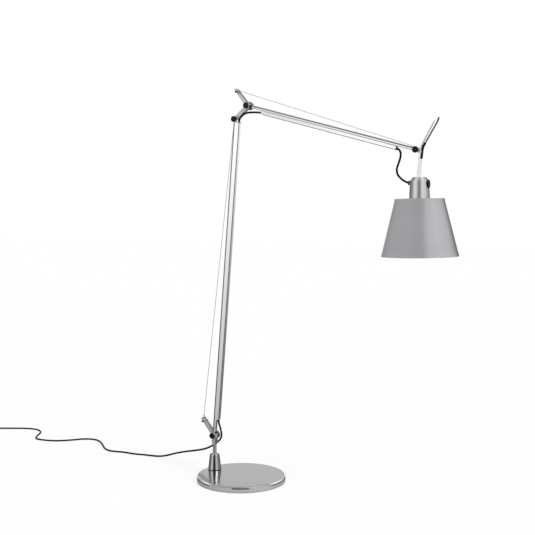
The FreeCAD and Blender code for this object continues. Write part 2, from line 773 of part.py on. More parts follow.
# ---------------------------------------------------------------- arms
def arm_profile(prefix, frame, length, duct_start, duct_end, start_slant):
    """The drawn arm profile: a rail with round ends and, below it, a cord duct cut short at both."""
    body = new_body(f"{prefix}_arm_tube", frame)
    rail = sketch_on(body, "XZ_Plane")
    draw_bar(rail, length, rail_half_height, rail_half_height)
    pad(body, rail, arm_width, both_ways=True)
    duct = sketch_on(body, "XZ_Plane")
    draw_outline(duct, [
        (duct_start, -rail_half_height), (duct_start + start_slant, -duct_floor),
        (length - duct_end, -duct_floor), (length - duct_end, -rail_half_height)])
    pad(body, duct, arm_width, both_ways=True)

    def long_floor_edge(edge):
        box = edge.BoundBox
        return box.XLength > float(length) / 2 and abs(box.ZMin + float(duct_floor)) < 0.01

    soften(body, "Fillet", long_floor_edge, arm_rounding)
    inside = arm_half_width - arm_wall
    chamber = rail_half_height - rail_wall
    hollow = sketch_on(body, "YZ_Plane", lifted(rail_solid_end))
    draw_outline(hollow, [(-inside, -chamber), (inside, -chamber), (inside, chamber), (-inside, chamber)])
    cut(body, hollow, forwards=True)
    way = sketch_on(body, "YZ_Plane", lifted(rail_solid_end))
    draw_outline(way, [
        (-inside, arm_wall - duct_floor), (inside, arm_wall - duct_floor),
        (inside, -rail_half_height), (-inside, -rail_half_height)])
    cut(body, way, forwards=True)
    slot = sketch_on(body, "XY_Plane")
    slot_start = length - pulley_distance - pulley_bend_radius - pulley_slot_margin
    slot_end = length + rail_height
    draw_outline(slot, [(slot_start, -inside), (slot_end, -inside), (slot_end, inside), (slot_start, inside)])
    cut(body, slot, forwards=True)
    bores = sketch_on(body, "XZ_Plane")
    draw_circle(bores, 0, 0, bore_radius)
    draw_circle(bores, length, 0, bore_radius)
    draw_circle(bores, anchor_distance, 0, rivet_radius + running_gap)
    draw_circle(bores, length - pulley_distance, pulley_rise, pulley_pin_radius + running_gap)
    cut(body, bores, both_ways=True)


def arm_cap(prefix, frame, length, duct_end):
    """The end plate of the duct, with the hole that the cord comes out of."""
    body = new_body(f"{prefix}_duct_cap", frame)
    start = length - duct_end
    plate = sketch_on(body, "YZ_Plane", lifted(start))
    half = arm_half_width + cap_lip
    draw_outline(plate, [(-half, -duct_floor - cap_lip), (half, -duct_floor - cap_lip),
                         (half, -rail_half_height), (-half, -rail_half_height)])
    pad(body, plate, cap_thickness)
    hole = sketch_on(body, "YZ_Plane")
    draw_circle(hole, 0, -cord_drop, cord_radius + seat_gap)
    cut(body, hole, forwards=True)


def arm_pins(prefix, frame, length):
    """The screw that anchors the spring and the pin that the pulley turns on."""
    half = float(arm_half_width)
    x = float(anchor_distance)
    head = float(anchor_head_height)
    shank = pin_shape(vec(x, half, 0), vec(x, -half - head, 0), rivet_radius)
    screw_head = pin_shape(vec(x, -half, 0), vec(x, -half - head, 0), anchor_head_radius)
    axle_x = float(length - pulley_distance)
    axle = pin_shape(vec(axle_x, half, pulley_rise), vec(axle_x, -half, pulley_rise), pulley_pin_radius)
    anchor = shank.fuse(screw_head).removeSplitter()
    plain_part(f"{prefix}_arm_pins", frame, Part.Compound([anchor, axle]))


def arm_spring(prefix, frame, spring_length):
    """The tension spring inside the rail, hooked to the anchor screw; its far end takes the cable."""
    hook_start = rivet_radius + seat_gap
    coil_start = hook_start + spring_hook_length
    coil_end = coil_start + spring_length
    anchor = frame.multVec(vec(anchor_distance, 0, 0))
    along = FreeCAD.Placement(anchor, frame.Rotation.multiply(turn(AXIS_Y, 90)))
    turned(f"{prefix}_arm_spring", along, [
        (0, hook_start), (spring_hook_radius, hook_start), (spring_hook_radius, coil_start),
        (spring_radius, coil_start), (spring_radius, coil_end), (0, coil_end)])
    return anchor_distance + coil_end


def arm_pulley(prefix, frame, length):
    """The small grooved wheel that leads the cable back into the rail."""
    centre = frame.multVec(vec(length - pulley_distance, 0, pulley_rise))
    axle = FreeCAD.Placement(centre, frame.Rotation.multiply(turn(AXIS_X, 90)))
    rim = pulley_bend_radius + pulley_flange
    groove = pulley_bend_radius - cable_radius - seat_gap
    half = pulley_width / 2
    bore = pulley_pin_radius + running_gap
    turned(f"{prefix}_arm_pulley", axle, [
        (bore, -half), (rim, -half), (rim, -half + pulley_rim_width),
        (groove, -cable_radius - seat_gap),
        (groove, cable_radius + seat_gap), (rim, half - pulley_rim_width), (rim, half),
        (bore, half)])


def touching_point(centre, radius, outside, side):
    """Where the line from an outside point touches a circle in the arm's plane, above or below."""
    away = outside - centre
    base_angle = math.atan2(away.z, away.x)
    opening = math.acos(radius / away.Length)
    angle = base_angle - side * opening
    return centre + vec(math.cos(angle), 0, math.sin(angle)) * radius


def tension_cable(prefix, frame, length, lever_angle, spring_end):
    """The cable from the lever's tip over the pulley and back inside the rail to the spring.

    Its eye goes round the pin at the lever's tip."""
    angle = math.radians(float(lever_angle))
    tip = vec(math.cos(angle), 0, math.sin(angle)) * float(lever_length)
    centre = vec(length - pulley_distance, 0, pulley_rise)
    bend = float(pulley_bend_radius)
    over = touching_point(centre, bend, tip, 1)
    inner_end = vec(spring_end, 0, 0)
    under = touching_point(centre, bend, inner_end, -1)
    eye_inner = float(rivet_radius + seat_gap)
    eye_outer = eye_inner + 2 * float(cable_radius)
    start = tip + (over - tip).normalize() * (eye_inner + float(cable_radius))
    wire = Part.Wire([
        Part.LineSegment(start, over).toShape(),
        Part.Arc(over, centre + vec(bend, 0, 0), under).toShape(),
        Part.LineSegment(under, inner_end).toShape()])
    half_eye = vec(0, eye_width / 2, 0)
    eye_hole = pin_shape(tip + half_eye, tip - half_eye, eye_inner)
    eye = pin_shape(tip + half_eye, tip - half_eye, eye_outer).cut(eye_hole)
    shape = tube(wire, cable_radius).fuse(eye).removeSplitter()
    plain_part(f"{prefix}_cable", frame, shape)


def duct_cord(prefix, frame, length, duct_start, duct_end):
    """The lead inside the arm's duct."""
    start = vec(duct_start + cord_setback, 0, -cord_drop)
    end = vec(length - duct_end + cap_thickness, 0, -cord_drop)
    plain_part(f"{prefix}_arm_cord", frame, pin_shape(start, end, cord_radius))


def make_arm(prefix, frame, length, duct_start, duct_end, start_slant, spring_length, lever_angle):
    arm_profile(prefix, frame, length, duct_start, duct_end, start_slant)
    arm_cap(prefix, frame, length, duct_end)
    arm_pins(prefix, frame, length)
    spring_end = arm_spring(prefix, frame, spring_length)
    arm_pulley(prefix, frame, length)
    tension_cable(prefix, frame, length, lever_angle, spring_end)
    duct_cord(prefix, frame, length, duct_start, duct_end)


# ---------------------------------------------------------------- head
def make_yoke():
    """The bracket on the head pivot: two ears, joined by a web that the handle wire is brazed into."""
    body = new_body("head_yoke", HEAD)
    ears = sketch_on(body, "XZ_Plane")
    web_end = yoke_web_start + yoke_web_thickness
    nose_radius = yoke_ear_radius / 2
    draw_bar(ears, web_end - nose_radius, yoke_ear_radius, nose_radius)
    pad(body, ears, plate_outer * 2, both_ways=True)
    web = sketch_on(body, "XZ_Plane")
    draw_outline(web, [
        (yoke_web_start, -yoke_web_drop), (web_end, -yoke_web_drop),
        (web_end, yoke_web_top), (yoke_web_start, yoke_web_top)])
    pad(body, web, yoke_web_half_width * 2, both_ways=True)
    gap = sketch_on(body, "XY_Plane")
    reach = yoke_ear_radius * 2
    draw_outline(gap, [
        (-reach, -plate_inner), (yoke_web_start, -plate_inner),
        (yoke_web_start, plate_inner), (-reach, plate_inner)])
    cut(body, gap, both_ways=True)
    bore = sketch_on(body, "XZ_Plane")
    draw_circle(bore, 0, 0, bore_radius)
    cut(body, bore, both_ways=True)
    grooves = sketch_on(body, "XY_Plane")
    groove_x = handle_bend_x - yoke_groove_setback
    draw_circle(grooves, groove_x, -wire_half_gap, wire_radius + yoke_groove_gap)
    draw_circle(grooves, groove_x, wire_half_gap, wire_radius + sleeve_wall + yoke_groove_gap)
    cut(body, grooves, both_ways=True)


def handle_corners():
    """The corners of the bent handle wire in the head's frame, from the near foot to the far one."""
    lean = math.radians(float(handle_lean_angle))
    up = vec(math.sin(lean), 0, math.cos(lean))
    bend = vec(handle_bend_x, 0, handle_bend_z)
    crown = HEAD.inverse().multVec(CUP.multVec(vec(leg_x, 0, -float(cup_wall) / 2)))
    foot = crown + (crown - bend).normalize() * float(cup_wall / 2 + wire_inside)
    tip = bend + up * float(handle_length)
    corners = []
    for side in (-1, 1):
        narrow = vec(0, side * float(wire_half_gap), 0)
        wide = vec(0, side * float(handle_half_width), 0)
        leg = [foot + narrow, bend + narrow, tip + wide]
        corners += leg if side < 0 else leg[::-1]
    return corners


def make_handle():
    """The handle: one wire from the cup past the pivot, out to a round end and back, and its sleeve."""
    corners = handle_corners()
    bend = float(handle_bend_radius)
    turn_radius = float(handle_half_width) - 0.01
    path = rounded_path(corners, [bend, turn_radius, turn_radius, bend])
    plain_part("handle_wire", HEAD, tube(path, wire_radius))

    tip, corner, foot = corners[3], corners[4], corners[5]
    start = corner + (tip - corner).normalize() * float(sleeve_above)
    end = corner + (foot - corner).normalize() * float(sleeve_below)
    short = rounded_path([start, corner, end], [bend])
    outer = tube(short, wire_radius + sleeve_wall)
    inner = tube(short, wire_radius + running_gap)
    plain_part("handle_sleeve", HEAD, outer.cut(inner))


def make_cup():
    """The polished cup over the lamp holder, with a boss for the lead and a flat for the switch."""
    mouth_inner = cup_mouth_radius - cup_wall
    cup = turned("socket_cup", CUP, [
        (0, 0), (cup_top_radius, 0), (cup_shoulder_radius, -cup_shoulder_drop),
        (cup_mouth_radius, -cup_height), (mouth_inner, -cup_height),
        (cup_shoulder_radius - cup_wall, -cup_shoulder_drop - cup_wall / 2),
        (cup_top_radius - cup_wall / 2, -cup_wall), (0, -cup_wall)])
    lean = math.radians(float(gland_tilt_angle))
    reach = float(gland_boss_reach)
    boss_foot = vec(0, reach * math.sin(lean) - float(gland_drop), -reach * math.cos(lean))
    boss_end = FreeCAD.Placement(boss_foot, turn(AXIS_X, gland_tilt_angle))
    boss = sketch_on(cup, "YZ_Plane", boss_end)
    draw_circle(boss, 0, 0, gland_boss_radius)
    pad(cup, boss, gland_boss_reach - cup_shoulder_radius + cup_wall)
    lead_way = sketch_on(cup, "YZ_Plane", boss_end)
    draw_circle(lead_way, 0, 0, gland_stub_radius + seat_gap)
    cut(cup, lead_way, gland_stub_length + gland_boss_reach - cup_shoulder_radius, forwards=True)
    flat = sketch_on(cup, "YZ_Plane", lifted(switch_flat))
    draw_circle(flat, 0, -switch_drop, switch_flat_radius)
    cut(cup, flat, forwards=True)
    spindle = sketch_on(cup, "YZ_Plane")
    draw_circle(spindle, 0, -switch_drop, switch_stub_radius + running_gap)
    cut(cup, spindle, forwards=True)
    legs = sketch_on(cup, "XY_Plane", lifted(-cup_wall * 2))
    for side in (-1, 1):
        draw_circle(legs, leg_x, wire_half_gap * side, wire_radius + loose_gap)
    cut(cup, legs, forwards=True)

    turned("cord_gland", GLAND, [
        (cord_radius + running_gap, gland_boss_reach - gland_stub_length),
        (gland_stub_radius, gland_boss_reach - gland_stub_length), (gland_stub_radius, gland_boss_reach),
        (gland_disc_radius, gland_boss_reach), (gland_disc_radius, gland_boss_reach + gland_disc_thickness),
        (cord_radius + running_gap, gland_boss_reach + gland_disc_thickness)])

    spindle_foot = CUP.multVec(vec(0, 0, -switch_drop))
    spindle_frame = FreeCAD.Placement(spindle_foot, CUP.Rotation.multiply(turn(AXIS_Y, 90)))
    foot = switch_flat + loose_gap
    top = foot + switch_height
    body = turned("switch_knob", spindle_frame, [
        (0, switch_flat - switch_stub_length), (switch_stub_radius, switch_flat - switch_stub_length),
        (switch_stub_radius, foot), (switch_radius, foot), (switch_radius, top), (0, top)])
    soften(body, "Fillet", ring_edge(switch_radius, top), knob_bevel * 2)


def bulb_solid(cap_top, grow):
    """Cap, neck cone and round globe, each surface set out or in by the same amount."""
    cap_foot = float(cap_top + bulb_cap_length)
    cap_size = float(bulb_cap_radius) + grow
    ball_size = float(bulb_radius) + grow
    reach = float(bulb_neck_length + bulb_radius)
    slope = math.asin((ball_size - cap_size) / reach)
    down = vec(0, 0, -1)
    cap = Part.makeCylinder(cap_size, float(bulb_cap_length) + grow, vec(0, 0, grow - float(cap_top)), down)
    neck_length = reach - ball_size * math.sin(slope)
    neck = Part.makeCone(cap_size, ball_size * math.cos(slope), neck_length, vec(0, 0, -cap_foot), down)
    ball = Part.makeSphere(ball_size, vec(0, 0, -cap_foot - reach))
    return cap.fuse([neck, ball])


def make_bulb(cap_top):
    """The bulb, blown thin, with a vent hole through the top of its cap."""
    outer = bulb_solid(cap_top, 0)
    inner = bulb_solid(cap_top, -float(bulb_wall))
    crown = vec(0, 0, -float(cap_top))
    vent = pin_shape(crown, crown - vec(0, 0, bulb_wall * 2), bulb_vent_radius)
    plain_part("bulb", CUP, outer.cut([inner, vent]).removeSplitter())


def make_holder():
    """The lamp holder with the ring that clamps the shade's frame under it, and the bulb in it."""
    flange_foot = cup_height + loose_gap
    flange_top = flange_foot - holder_flange_height
    skirt_foot = flange_foot + holder_skirt_length
    ceiling = skirt_foot - holder_bore_depth
    turned("lamp_holder", CUP, [
        (0, -cup_wall), (holder_nipple_radius, -cup_wall), (holder_nipple_radius, -holder_top_drop),
        (holder_radius, -holder_top_drop), (holder_radius, -flange_top), (holder_flange_radius, -flange_top),
        (holder_flange_radius, -flange_foot), (holder_skirt_radius, -flange_foot),
        (holder_skirt_radius, -skirt_foot), (holder_bore_radius, -skirt_foot),
        (holder_bore_radius, -ceiling), (0, -ceiling)])
    ring_top = flange_foot + spider_thickness
    turned("holder_ring", CUP, [
        (holder_skirt_radius + seat_gap, -ring_top), (holder_ring_radius, -ring_top),
        (holder_ring_radius, -ring_top - holder_ring_height),
        (holder_skirt_radius + seat_gap, -ring_top - holder_ring_height)])

    make_bulb(ceiling)
    return flange_foot


def ring_in_shade(height):
    """The radius of a wire ring that just clears the inside of the cloth cone at this height."""
    spread = float(shade_bottom_radius - shade_top_radius) / float(shade_height)
    inside = float(shade_top_radius - shade_wall) - spread * (height + float(shade_top_drop))
    return inside - float(shade_wire_radius + seat_gap) * math.hypot(1, spread)


def make_shade(hub_top):
    """The fabric cone and the wire frame that carries it from the holder."""
    foot = shade_top_drop + shade_height
    turned("shade", CUP, [
        (shade_top_radius, -shade_top_drop), (shade_bottom_radius, -foot),
        (shade_bottom_radius - shade_wall, -foot), (shade_top_radius - shade_wall, -shade_top_drop)])

    wire = float(shade_wire_radius)
    weld = float(frame_weld)
    ring_z = -float(hub_top + spider_thickness)
    ring_radius = ring_in_shade(ring_z - wire + weld)
    ring = Part.makeTorus(ring_radius, wire, vec(0, 0, ring_z - wire + weld))
    thickness = float(spider_thickness)
    hub_inner = float(holder_skirt_radius + seat_gap)
    hub_outer = float(holder_ring_radius)
    hub_foot = vec(0, 0, ring_z)
    hub_hole = Part.makeCylinder(hub_inner, thickness, hub_foot)
    hub = Part.makeCylinder(hub_outer, thickness, hub_foot).cut(hub_hole)
    pieces = [ring]
    arms = int(float(spider_arms))
    for k in range(arms):
        arm = Part.makeBox(ring_radius - hub_outer + weld, float(spider_arm_width), thickness,
                           vec(hub_outer - weld, -float(spider_arm_width) / 2, ring_z))
        arm.rotate(vec(0, 0, 0), AXIS_Z, 360 * k / arms + float(spider_start))
        pieces.append(arm)
    frame = hub.fuse(pieces).removeSplitter()
    bottom_z = wire - float(foot)
    bottom = Part.makeTorus(ring_in_shade(bottom_z), wire, vec(0, 0, bottom_z))
    plain_part("shade_frame", CUP, Part.Compound([frame, bottom]))


# ---------------------------------------------------------------- lead
def stem_points(points):
    """Places that are counted from the foot of the stem's axis."""
    return [STEM.multVec(vec(*point)) for point in points]


def make_elbow_leads():
    """The lead from the lower duct round the elbow into the upper one, in two pieces met on the link."""
    inner = LOWER.multVec(vec(lower_arm_length - lower_duct_end + cap_thickness, 0, -cord_drop))
    outer = UPPER.multVec(vec(upper_duct_start + cord_setback, 0, -cord_drop))
    up = LOWER.Rotation.multVec(AXIS_X)
    on = UPPER.Rotation.multVec(AXIS_X)
    bend = [vec(elbow_high[0] + dx, stem_y, elbow_high[1] + dz) for dx, dz in ELBOW_BEND]
    meeting = (bend[1] + bend[2]) / 2
    cord("elbow_lead_low", ROOM, [inner, inner + up * ELBOW_EXIT_RUN, bend[0], bend[1], meeting])
    cord("elbow_lead_high", ROOM, [meeting, bend[2], bend[3], outer - on * ELBOW_EXIT_RUN, outer])


def make_head_lead():
    """The lead from the upper duct in an S to the gland on the cup."""
    inner = UPPER.multVec(vec(upper_arm_length - upper_duct_end + cap_thickness, 0, -cord_drop))
    on = UPPER.Rotation.multVec(AXIS_X)
    bend = [vec(head_pivot[0] + dx, stem_y, head_pivot[1] + dz) for dx, dz in HEAD_BEND]
    seat = GLAND.multVec(vec(0, 0, gland_boss_reach - gland_stub_length / 2))
    entry = GLAND.multVec(vec(0, 0, gland_boss_reach + GLAND_RUN))
    cord("head_lead", ROOM, [inner, inner + on * HEAD_EXIT_RUN] + bend + [entry, seat])


def make_free_lead():
    """The lead from the lower duct past the pivot and behind the stem, down to the floor and along it."""
    inner = LOWER.multVec(vec(lower_duct_start + cord_setback, 0, -cord_drop))
    down = LOWER.Rotation.multVec(vec(-1, 0, 0))
    beside = stem_points(BESIDE_STEM)
    hanging = stem_points(HANGING)
    floor = stem_points([(x, y, cord_radius) for x, y in FLOOR])
    on_stem = (beside[-1] + hanging[0]) / 2
    on_floor = (floor[0] + floor[1]) / 2
    cord("lead_upper", ROOM, [inner, inner + down * FOOT_EXIT_RUN] + beside + [on_stem])
    cord("lead_drop", ROOM, [on_stem] + hanging + [floor[0], on_floor])
    heading = turn(AXIS_Z, coil_heading).multVec(AXIS_X)
    coil_entry = STEM.multVec(vec(coil_entry_x, coil_entry_y, cord_radius))
    entry = coil_entry - heading * (2 * float(cord_radius))
    cord("lead_floor", ROOM, [on_floor] + floor[1:] + [entry - heading * COIL_RUN, entry])


def biarc(start, start_way, end, end_way):
    """Two arcs that join two points and keep the direction at each."""
    span = end - start
    both = start_way + end_way
    bend = 2 * (1 - start_way.dot(end_way))
    along = span.dot(both)
    reach = (math.sqrt(along * along + bend * span.dot(span)) - along) / bend
    first_corner = start + start_way * reach
    second_corner = end - end_way * reach
    middle = (first_corner + second_corner) / 2
    return [corner_arc(start, first_corner, middle), corner_arc(middle, second_corner, end)]


def coil_point(turns, centre, first_angle):
    """The flat spiral in and out again: it comes in over half of the turns and climbs a layer there.

    The radius changes by one step a turn; the height follows a smooth ramp over the half turn
    about the middle."""
    from_middle = turns - float(coil_turns) / 2
    inner = float(coil_radius) - float(coil_step) * float(coil_turns) / 4
    radius = inner + float(coil_step) * abs(from_middle)
    share = min(max(2 * from_middle + 0.5, 0), 1)
    ramp = share * share * (3 - 2 * share)
    angle = first_angle + 2 * math.pi * turns
    return centre + vec(radius * math.cos(angle), radius * math.sin(angle), float(coil_step) * ramp)


def make_coil():
    """The spare lead, wound flat in two layers beside the end of the floor run."""
    heading = turn(AXIS_Z, coil_heading).multVec(AXIS_X)
    left = vec(-heading.y, heading.x)
    entry = STEM.multVec(vec(coil_entry_x, coil_entry_y, cord_radius))
    outer = float(coil_radius) + float(coil_step) * float(coil_turns) / 4
    centre = entry + left * outer
    first_angle = math.atan2(-left.y, -left.x)
    count = int(float(coil_turns) * 4)
    points = [coil_point(k / 4, centre, first_angle) for k in range(count + 1)]
    ways = [heading]
    for k in range(1, count):
        before = coil_point(k / 4 - SHORT_TURN, centre, first_angle)
        after = coil_point(k / 4 + SHORT_TURN, centre, first_angle)
        ways.append((after - before).normalize())
    ways.append(heading)
    lead_in = heading * (2 * float(cord_radius))
    edges = [Part.LineSegment(points[0] - lead_in, points[0]).toShape()]
    for k in range(count):
        edges += biarc(points[k], ways[k], points[k + 1], ways[k + 1])
    end = points[-1] + heading * float(coil_tail)
    edges.append(Part.LineSegment(points[-1], end).toShape())
    wire = Part.Wire(edges)
    plain_part("lead_coil", ROOM, tube(wire, cord_radius))
    print(f"lead_coil: length {wire.Length:.1f}, least gap {least_gap(wire):.2f}")
    return end


def least_gap(wire):
    """The least clear distance between stretches of a wound tube that aren't neighbours along it."""
    spacing = 2.0
    points = wire.discretize(Distance=spacing)
    apart = int(4 * 2 * float(cord_radius) / spacing)
    least = min((points[i] - points[j]).Length
                for i in range(len(points)) for j in range(i + apart, len(points)))
    return least - 2 * float(cord_radius)


def make_plug(end):
    """A flat two-pin plug with a short strain relief, lying beside the coil at the cord's height."""
    frame = FreeCAD.Placement(end, turn(AXIS_Z, coil_heading))
    body = new_body("plug_body", frame)
    relief = sketch_on(body, "YZ_Plane")
    draw_circle(relief, 0, 0, relief_radius)
    pad(body, relief, relief_length + plug_rounding)
    half = plug_width / 2
    nose = plug_nose_width / 2
    outline = sketch_on(body, "XY_Plane")
    tail = plug_tail_width / 2
    waist = relief_length + plug_waist
    front = relief_length + plug_length
    draw_outline(outline, [
        (relief_length, -tail), (waist, -half), (front, -nose),
        (front, nose), (waist, half), (relief_length, tail)])
    pad(body, outline, 2 * (cord_radius + coil_step), both_ways=True)

    def upright(edge):
        return edge.BoundBox.ZLength > float(cord_radius + coil_step) and edge.BoundBox.XLength < 0.01

    soften(body, "Fillet", upright, plug_rounding)
    pins = []
    for side in (-1, 1):
        y = side * float(plug_pin_spacing) / 2
        pins.append(pin_shape(vec(front, y, 0), vec(front + plug_pin_length, y, 0), plug_pin_radius))
    plain_part("plug_pins", frame, Part.Compound(pins))


# the lead's route, chosen by hand: offsets from the pivots, then from the foot of the stem's axis
ELBOW_EXIT_RUN = 6.5
ELBOW_BEND = [(-21.8, -26.6), (-12.4, -19.6), (0.2, -17), (15.6, -17.2)]
HEAD_EXIT_RUN = 5
HEAD_BEND = [(-40.2, -5), (-40.6, -17), (-45.8, -31), (-50.6, -44.5), (-48.2, -57), (-39.6, -66.5)]
GLAND_RUN = 9
FOOT_EXIT_RUN = 8
BESIDE_STEM = [(16.2, 1.8, 131), (16.5, 7, 116), (13.2, 14.2, 101.5)]
HANGING = [(4, 18.5, 90), (-16, 22.5, 74.5), (-48, 30.5, 57.5), (-88, 40, 46), (-130, 49.5, 35.5),
           (-170, 59.5, 23), (-205, 68, 10)]
FLOOR = [(-238, 74), (-278, 71), (-314, 63), (-353, 66), (-394, 55), (-427, 71), (-470, 115), (-513, 146),
         (-553, 138), (-580, 102), (-613, 72), (-653, 62), (-688, 63), (-709, 95), (-728, 136),
         (-764, 160), (-805, 155), (-845, 134), (-882, 114)]
COIL_RUN = 16
SHORT_TURN = 0.01

# ---------------------------------------------------------------- build
make_base()
make_stem(make_socket())
make_elbow()
make_arm("lower", LOWER, lower_arm_length, lower_duct_start, lower_duct_end, lower_duct_slant,
         lower_spring_length, lower_arm_lean_angle + lever_lean_angle)
make_arm("upper", UPPER, upper_arm_length, upper_duct_start, upper_duct_end, upper_duct_slant,
         upper_spring_length, 90 + upper_arm_droop_angle + lever_lean_angle)
make_yoke()
pivot_bolt("head_pivot_bolt", head_pivot, bare_head_radius)
knob("head_knob", head_pivot)
make_handle()
make_cup()
make_shade(make_holder())
make_elbow_leads()
make_head_lead()
make_free_lead()
make_plug(make_coil())

doc.recompute()
faults = []
for thing in doc.Objects:
    if "Invalid" in thing.State or "Error" in thing.State:
        faults.append(f"{thing.Label}: {thing.State}")
for piece in parts:
    if piece.Shape.isNull() or not piece.Shape.isValid():
        faults.append(f"{piece.Label}: shape")
if faults:
    raise RuntimeError("; ".join(faults))
for piece in parts:
    piece.Shape.exportStep(f"parts/{piece.Label}.step")
print(f"{len(parts)} parts")
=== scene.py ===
# %% [markdown]
# # A balanced reading floor lamp
# The lamp has a heavy round base, two aluminium arms that springs and thin cables hold up, and a
# fabric cone on a wire handle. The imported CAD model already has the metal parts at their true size.
# This notebook dresses it: it makes the cords, the cloth and the cables as new meshes, and gives
# every part a finish that is worked out by nodes. All lengths are in metres.

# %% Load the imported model
import math

import bpy
import numpy as np
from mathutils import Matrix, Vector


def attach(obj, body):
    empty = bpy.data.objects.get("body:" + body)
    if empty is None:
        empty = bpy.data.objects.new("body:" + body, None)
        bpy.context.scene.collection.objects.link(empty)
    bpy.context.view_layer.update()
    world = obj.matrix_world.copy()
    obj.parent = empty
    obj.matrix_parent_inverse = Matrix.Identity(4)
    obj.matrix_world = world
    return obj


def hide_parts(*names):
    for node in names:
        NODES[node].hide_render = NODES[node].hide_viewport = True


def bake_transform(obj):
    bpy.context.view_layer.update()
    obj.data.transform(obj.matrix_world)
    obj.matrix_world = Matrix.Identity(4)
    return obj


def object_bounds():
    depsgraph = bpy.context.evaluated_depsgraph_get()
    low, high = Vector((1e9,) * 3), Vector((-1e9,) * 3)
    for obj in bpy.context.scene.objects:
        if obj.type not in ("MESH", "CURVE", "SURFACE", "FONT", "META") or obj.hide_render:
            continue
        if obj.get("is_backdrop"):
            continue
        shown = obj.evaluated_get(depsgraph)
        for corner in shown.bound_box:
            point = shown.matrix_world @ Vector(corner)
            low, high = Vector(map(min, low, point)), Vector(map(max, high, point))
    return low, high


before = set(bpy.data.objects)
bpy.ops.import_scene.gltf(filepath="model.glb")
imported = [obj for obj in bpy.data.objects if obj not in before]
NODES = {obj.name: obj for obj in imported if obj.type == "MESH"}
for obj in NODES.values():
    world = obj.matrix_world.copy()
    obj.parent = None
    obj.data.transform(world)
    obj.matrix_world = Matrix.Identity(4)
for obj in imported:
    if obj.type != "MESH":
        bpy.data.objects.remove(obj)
cad_low, cad_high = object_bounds()
print("CAD box in metres:", [round(v, 3) for v in cad_high - cad_low])

# %% [markdown]
# ## Camera
# The photograph is taken from about table height, turned 29 degrees round the lamp and tipped
# down by less than 4. A camera can be aimed at a target object, but a place and two angles are
# easier to read and to compare with the measurements that they come from.

# %% Camera
CAMERA_TURN = math.radians(28.96)
CAMERA_TIP = math.radians(3.72)
SENSOR_WIDTH = 36
FOCAL_LENGTH = 64.89

camera_data = bpy.data.cameras.new("camera")
camera_data.sensor_width = SENSOR_WIDTH
camera_data.lens = FOCAL_LENGTH
camera_data.clip_end = 50
camera = bpy.data.objects.new("camera", camera_data)
camera.location = (1.25667, -2.12965, 0.71704)
camera.rotation_euler = (math.radians(90) - CAMERA_TIP, 0, CAMERA_TURN)
bpy.context.scene.collection.objects.link(camera)
bpy.context.scene.camera = camera

# %% [markdown]
# ## Pivots
# The four pivots of the arms lie in one upright plane. Each arm has a frame of its own, with one
# axis along the arm and one to the side of its cable, so a place on an arm is two plain numbers.

# %% Pivots and the frames of the arms
MM = 0.001
STEM_X, STEM_Y = -88.3 * MM, 11.1 * MM


def step(start, length, lean):
    """The point at a length from start: start + length (sin lean, cos lean)."""
    angle = math.radians(lean)
    return start + length * np.array((math.sin(angle), math.cos(angle)))


FOOT_PIVOT = np.array((STEM_X, 107.8 * MM))
ELBOW_LOW = step(FOOT_PIVOT, 830.7 * MM, 4.74)
ELBOW_HIGH = step(ELBOW_LOW, 48.6 * MM, 47.88)
HEAD_PIVOT = step(ELBOW_HIGH, 469.5 * MM, 90 + 15.24)


class PlaneFrame:
    """A frame in the arms' plane, turned about Y."""

    def __init__(self, origin, degrees):
        self.origin = origin
        self.angle = math.radians(degrees)
        self.along = np.array((math.cos(self.angle), 0, -math.sin(self.angle)))
        self.up = np.array((math.sin(self.angle), 0, math.cos(self.angle)))

    def place(self, along, across, up):
        """origin + along X' + across Y + up Z', for numbers or whole arrays."""
        base = np.array((self.origin[0], STEM_Y, self.origin[1]))
        parts = (np.asarray(along, float)[..., None] * self.along,
                 np.asarray(across, float)[..., None] * np.array((0, 1, 0)),
                 np.asarray(up, float)[..., None] * self.up)
        return base + sum(parts)


RAIL = 4.0
DUCT = 13.0
LOWER = PlaneFrame(FOOT_PIVOT, 4.74 - 90)
UPPER = PlaneFrame(ELBOW_HIGH, 15.24)
CUP = PlaneFrame(HEAD_PIVOT + np.array((6.3 * MM, -63.8 * MM)), -1)
print("head pivot:", np.round(HEAD_PIVOT, 4))

# %% [markdown]
# ## Surfaces from grids
# Every new shape is a grid of points: rows along one parameter and columns along the other. One
# function turns such a grid into a mesh, so that each later step only has to give its formula.
# Blender's own primitives would need edits afterwards, while a formula says the shape outright.

# %% Grid to mesh
def surface(name, grid, size=(1, 1), ring=True, loop=False, lids=False, sharp=40):
    """A mesh of quads between neighbouring points of a grid of rows and columns.

    ring joins the last column to the first and loop the last row to the first. lids closes the
    two end rows. The UV map runs from 0 to size, so with a size in metres it measures the cloth."""
    rows, columns = grid.shape[:2]
    row_count = rows if loop else rows - 1
    column_count = columns if ring else columns - 1
    numbers = np.meshgrid(np.arange(row_count), np.arange(column_count), indexing="ij")
    i, j = [axis.ravel() for axis in numbers]
    corner_rows = np.stack([i, i + 1, i + 1, i], 1)
    corner_columns = np.stack([j, j, j + 1, j + 1], 1)
    faces = ((corner_rows % rows) * columns + corner_columns % columns).tolist()
    u = corner_columns / column_count * size[0]
    v = corner_rows / row_count * size[1]
    uv = np.stack([u, v], 2).reshape(-1, 2)
    if lids:
        first = list(range(columns))
        faces += [first, [k + (rows - 1) * columns for k in first][::-1]]
        uv = np.vstack([uv, np.zeros((2 * columns, 2))])
    mesh = bpy.data.meshes.new(name)
    points = grid.reshape(-1, 3)
    mesh.from_pydata(points.tolist(), [], faces)
    mesh.uv_layers.new(name="UVMap").data.foreach_set("uv", uv.ravel())
    if enclosed_volume(mesh, points) < 0:
        mesh.flip_normals()
    mesh.shade_smooth()
    mesh.set_sharp_from_angle(angle=math.radians(sharp))
    return mesh


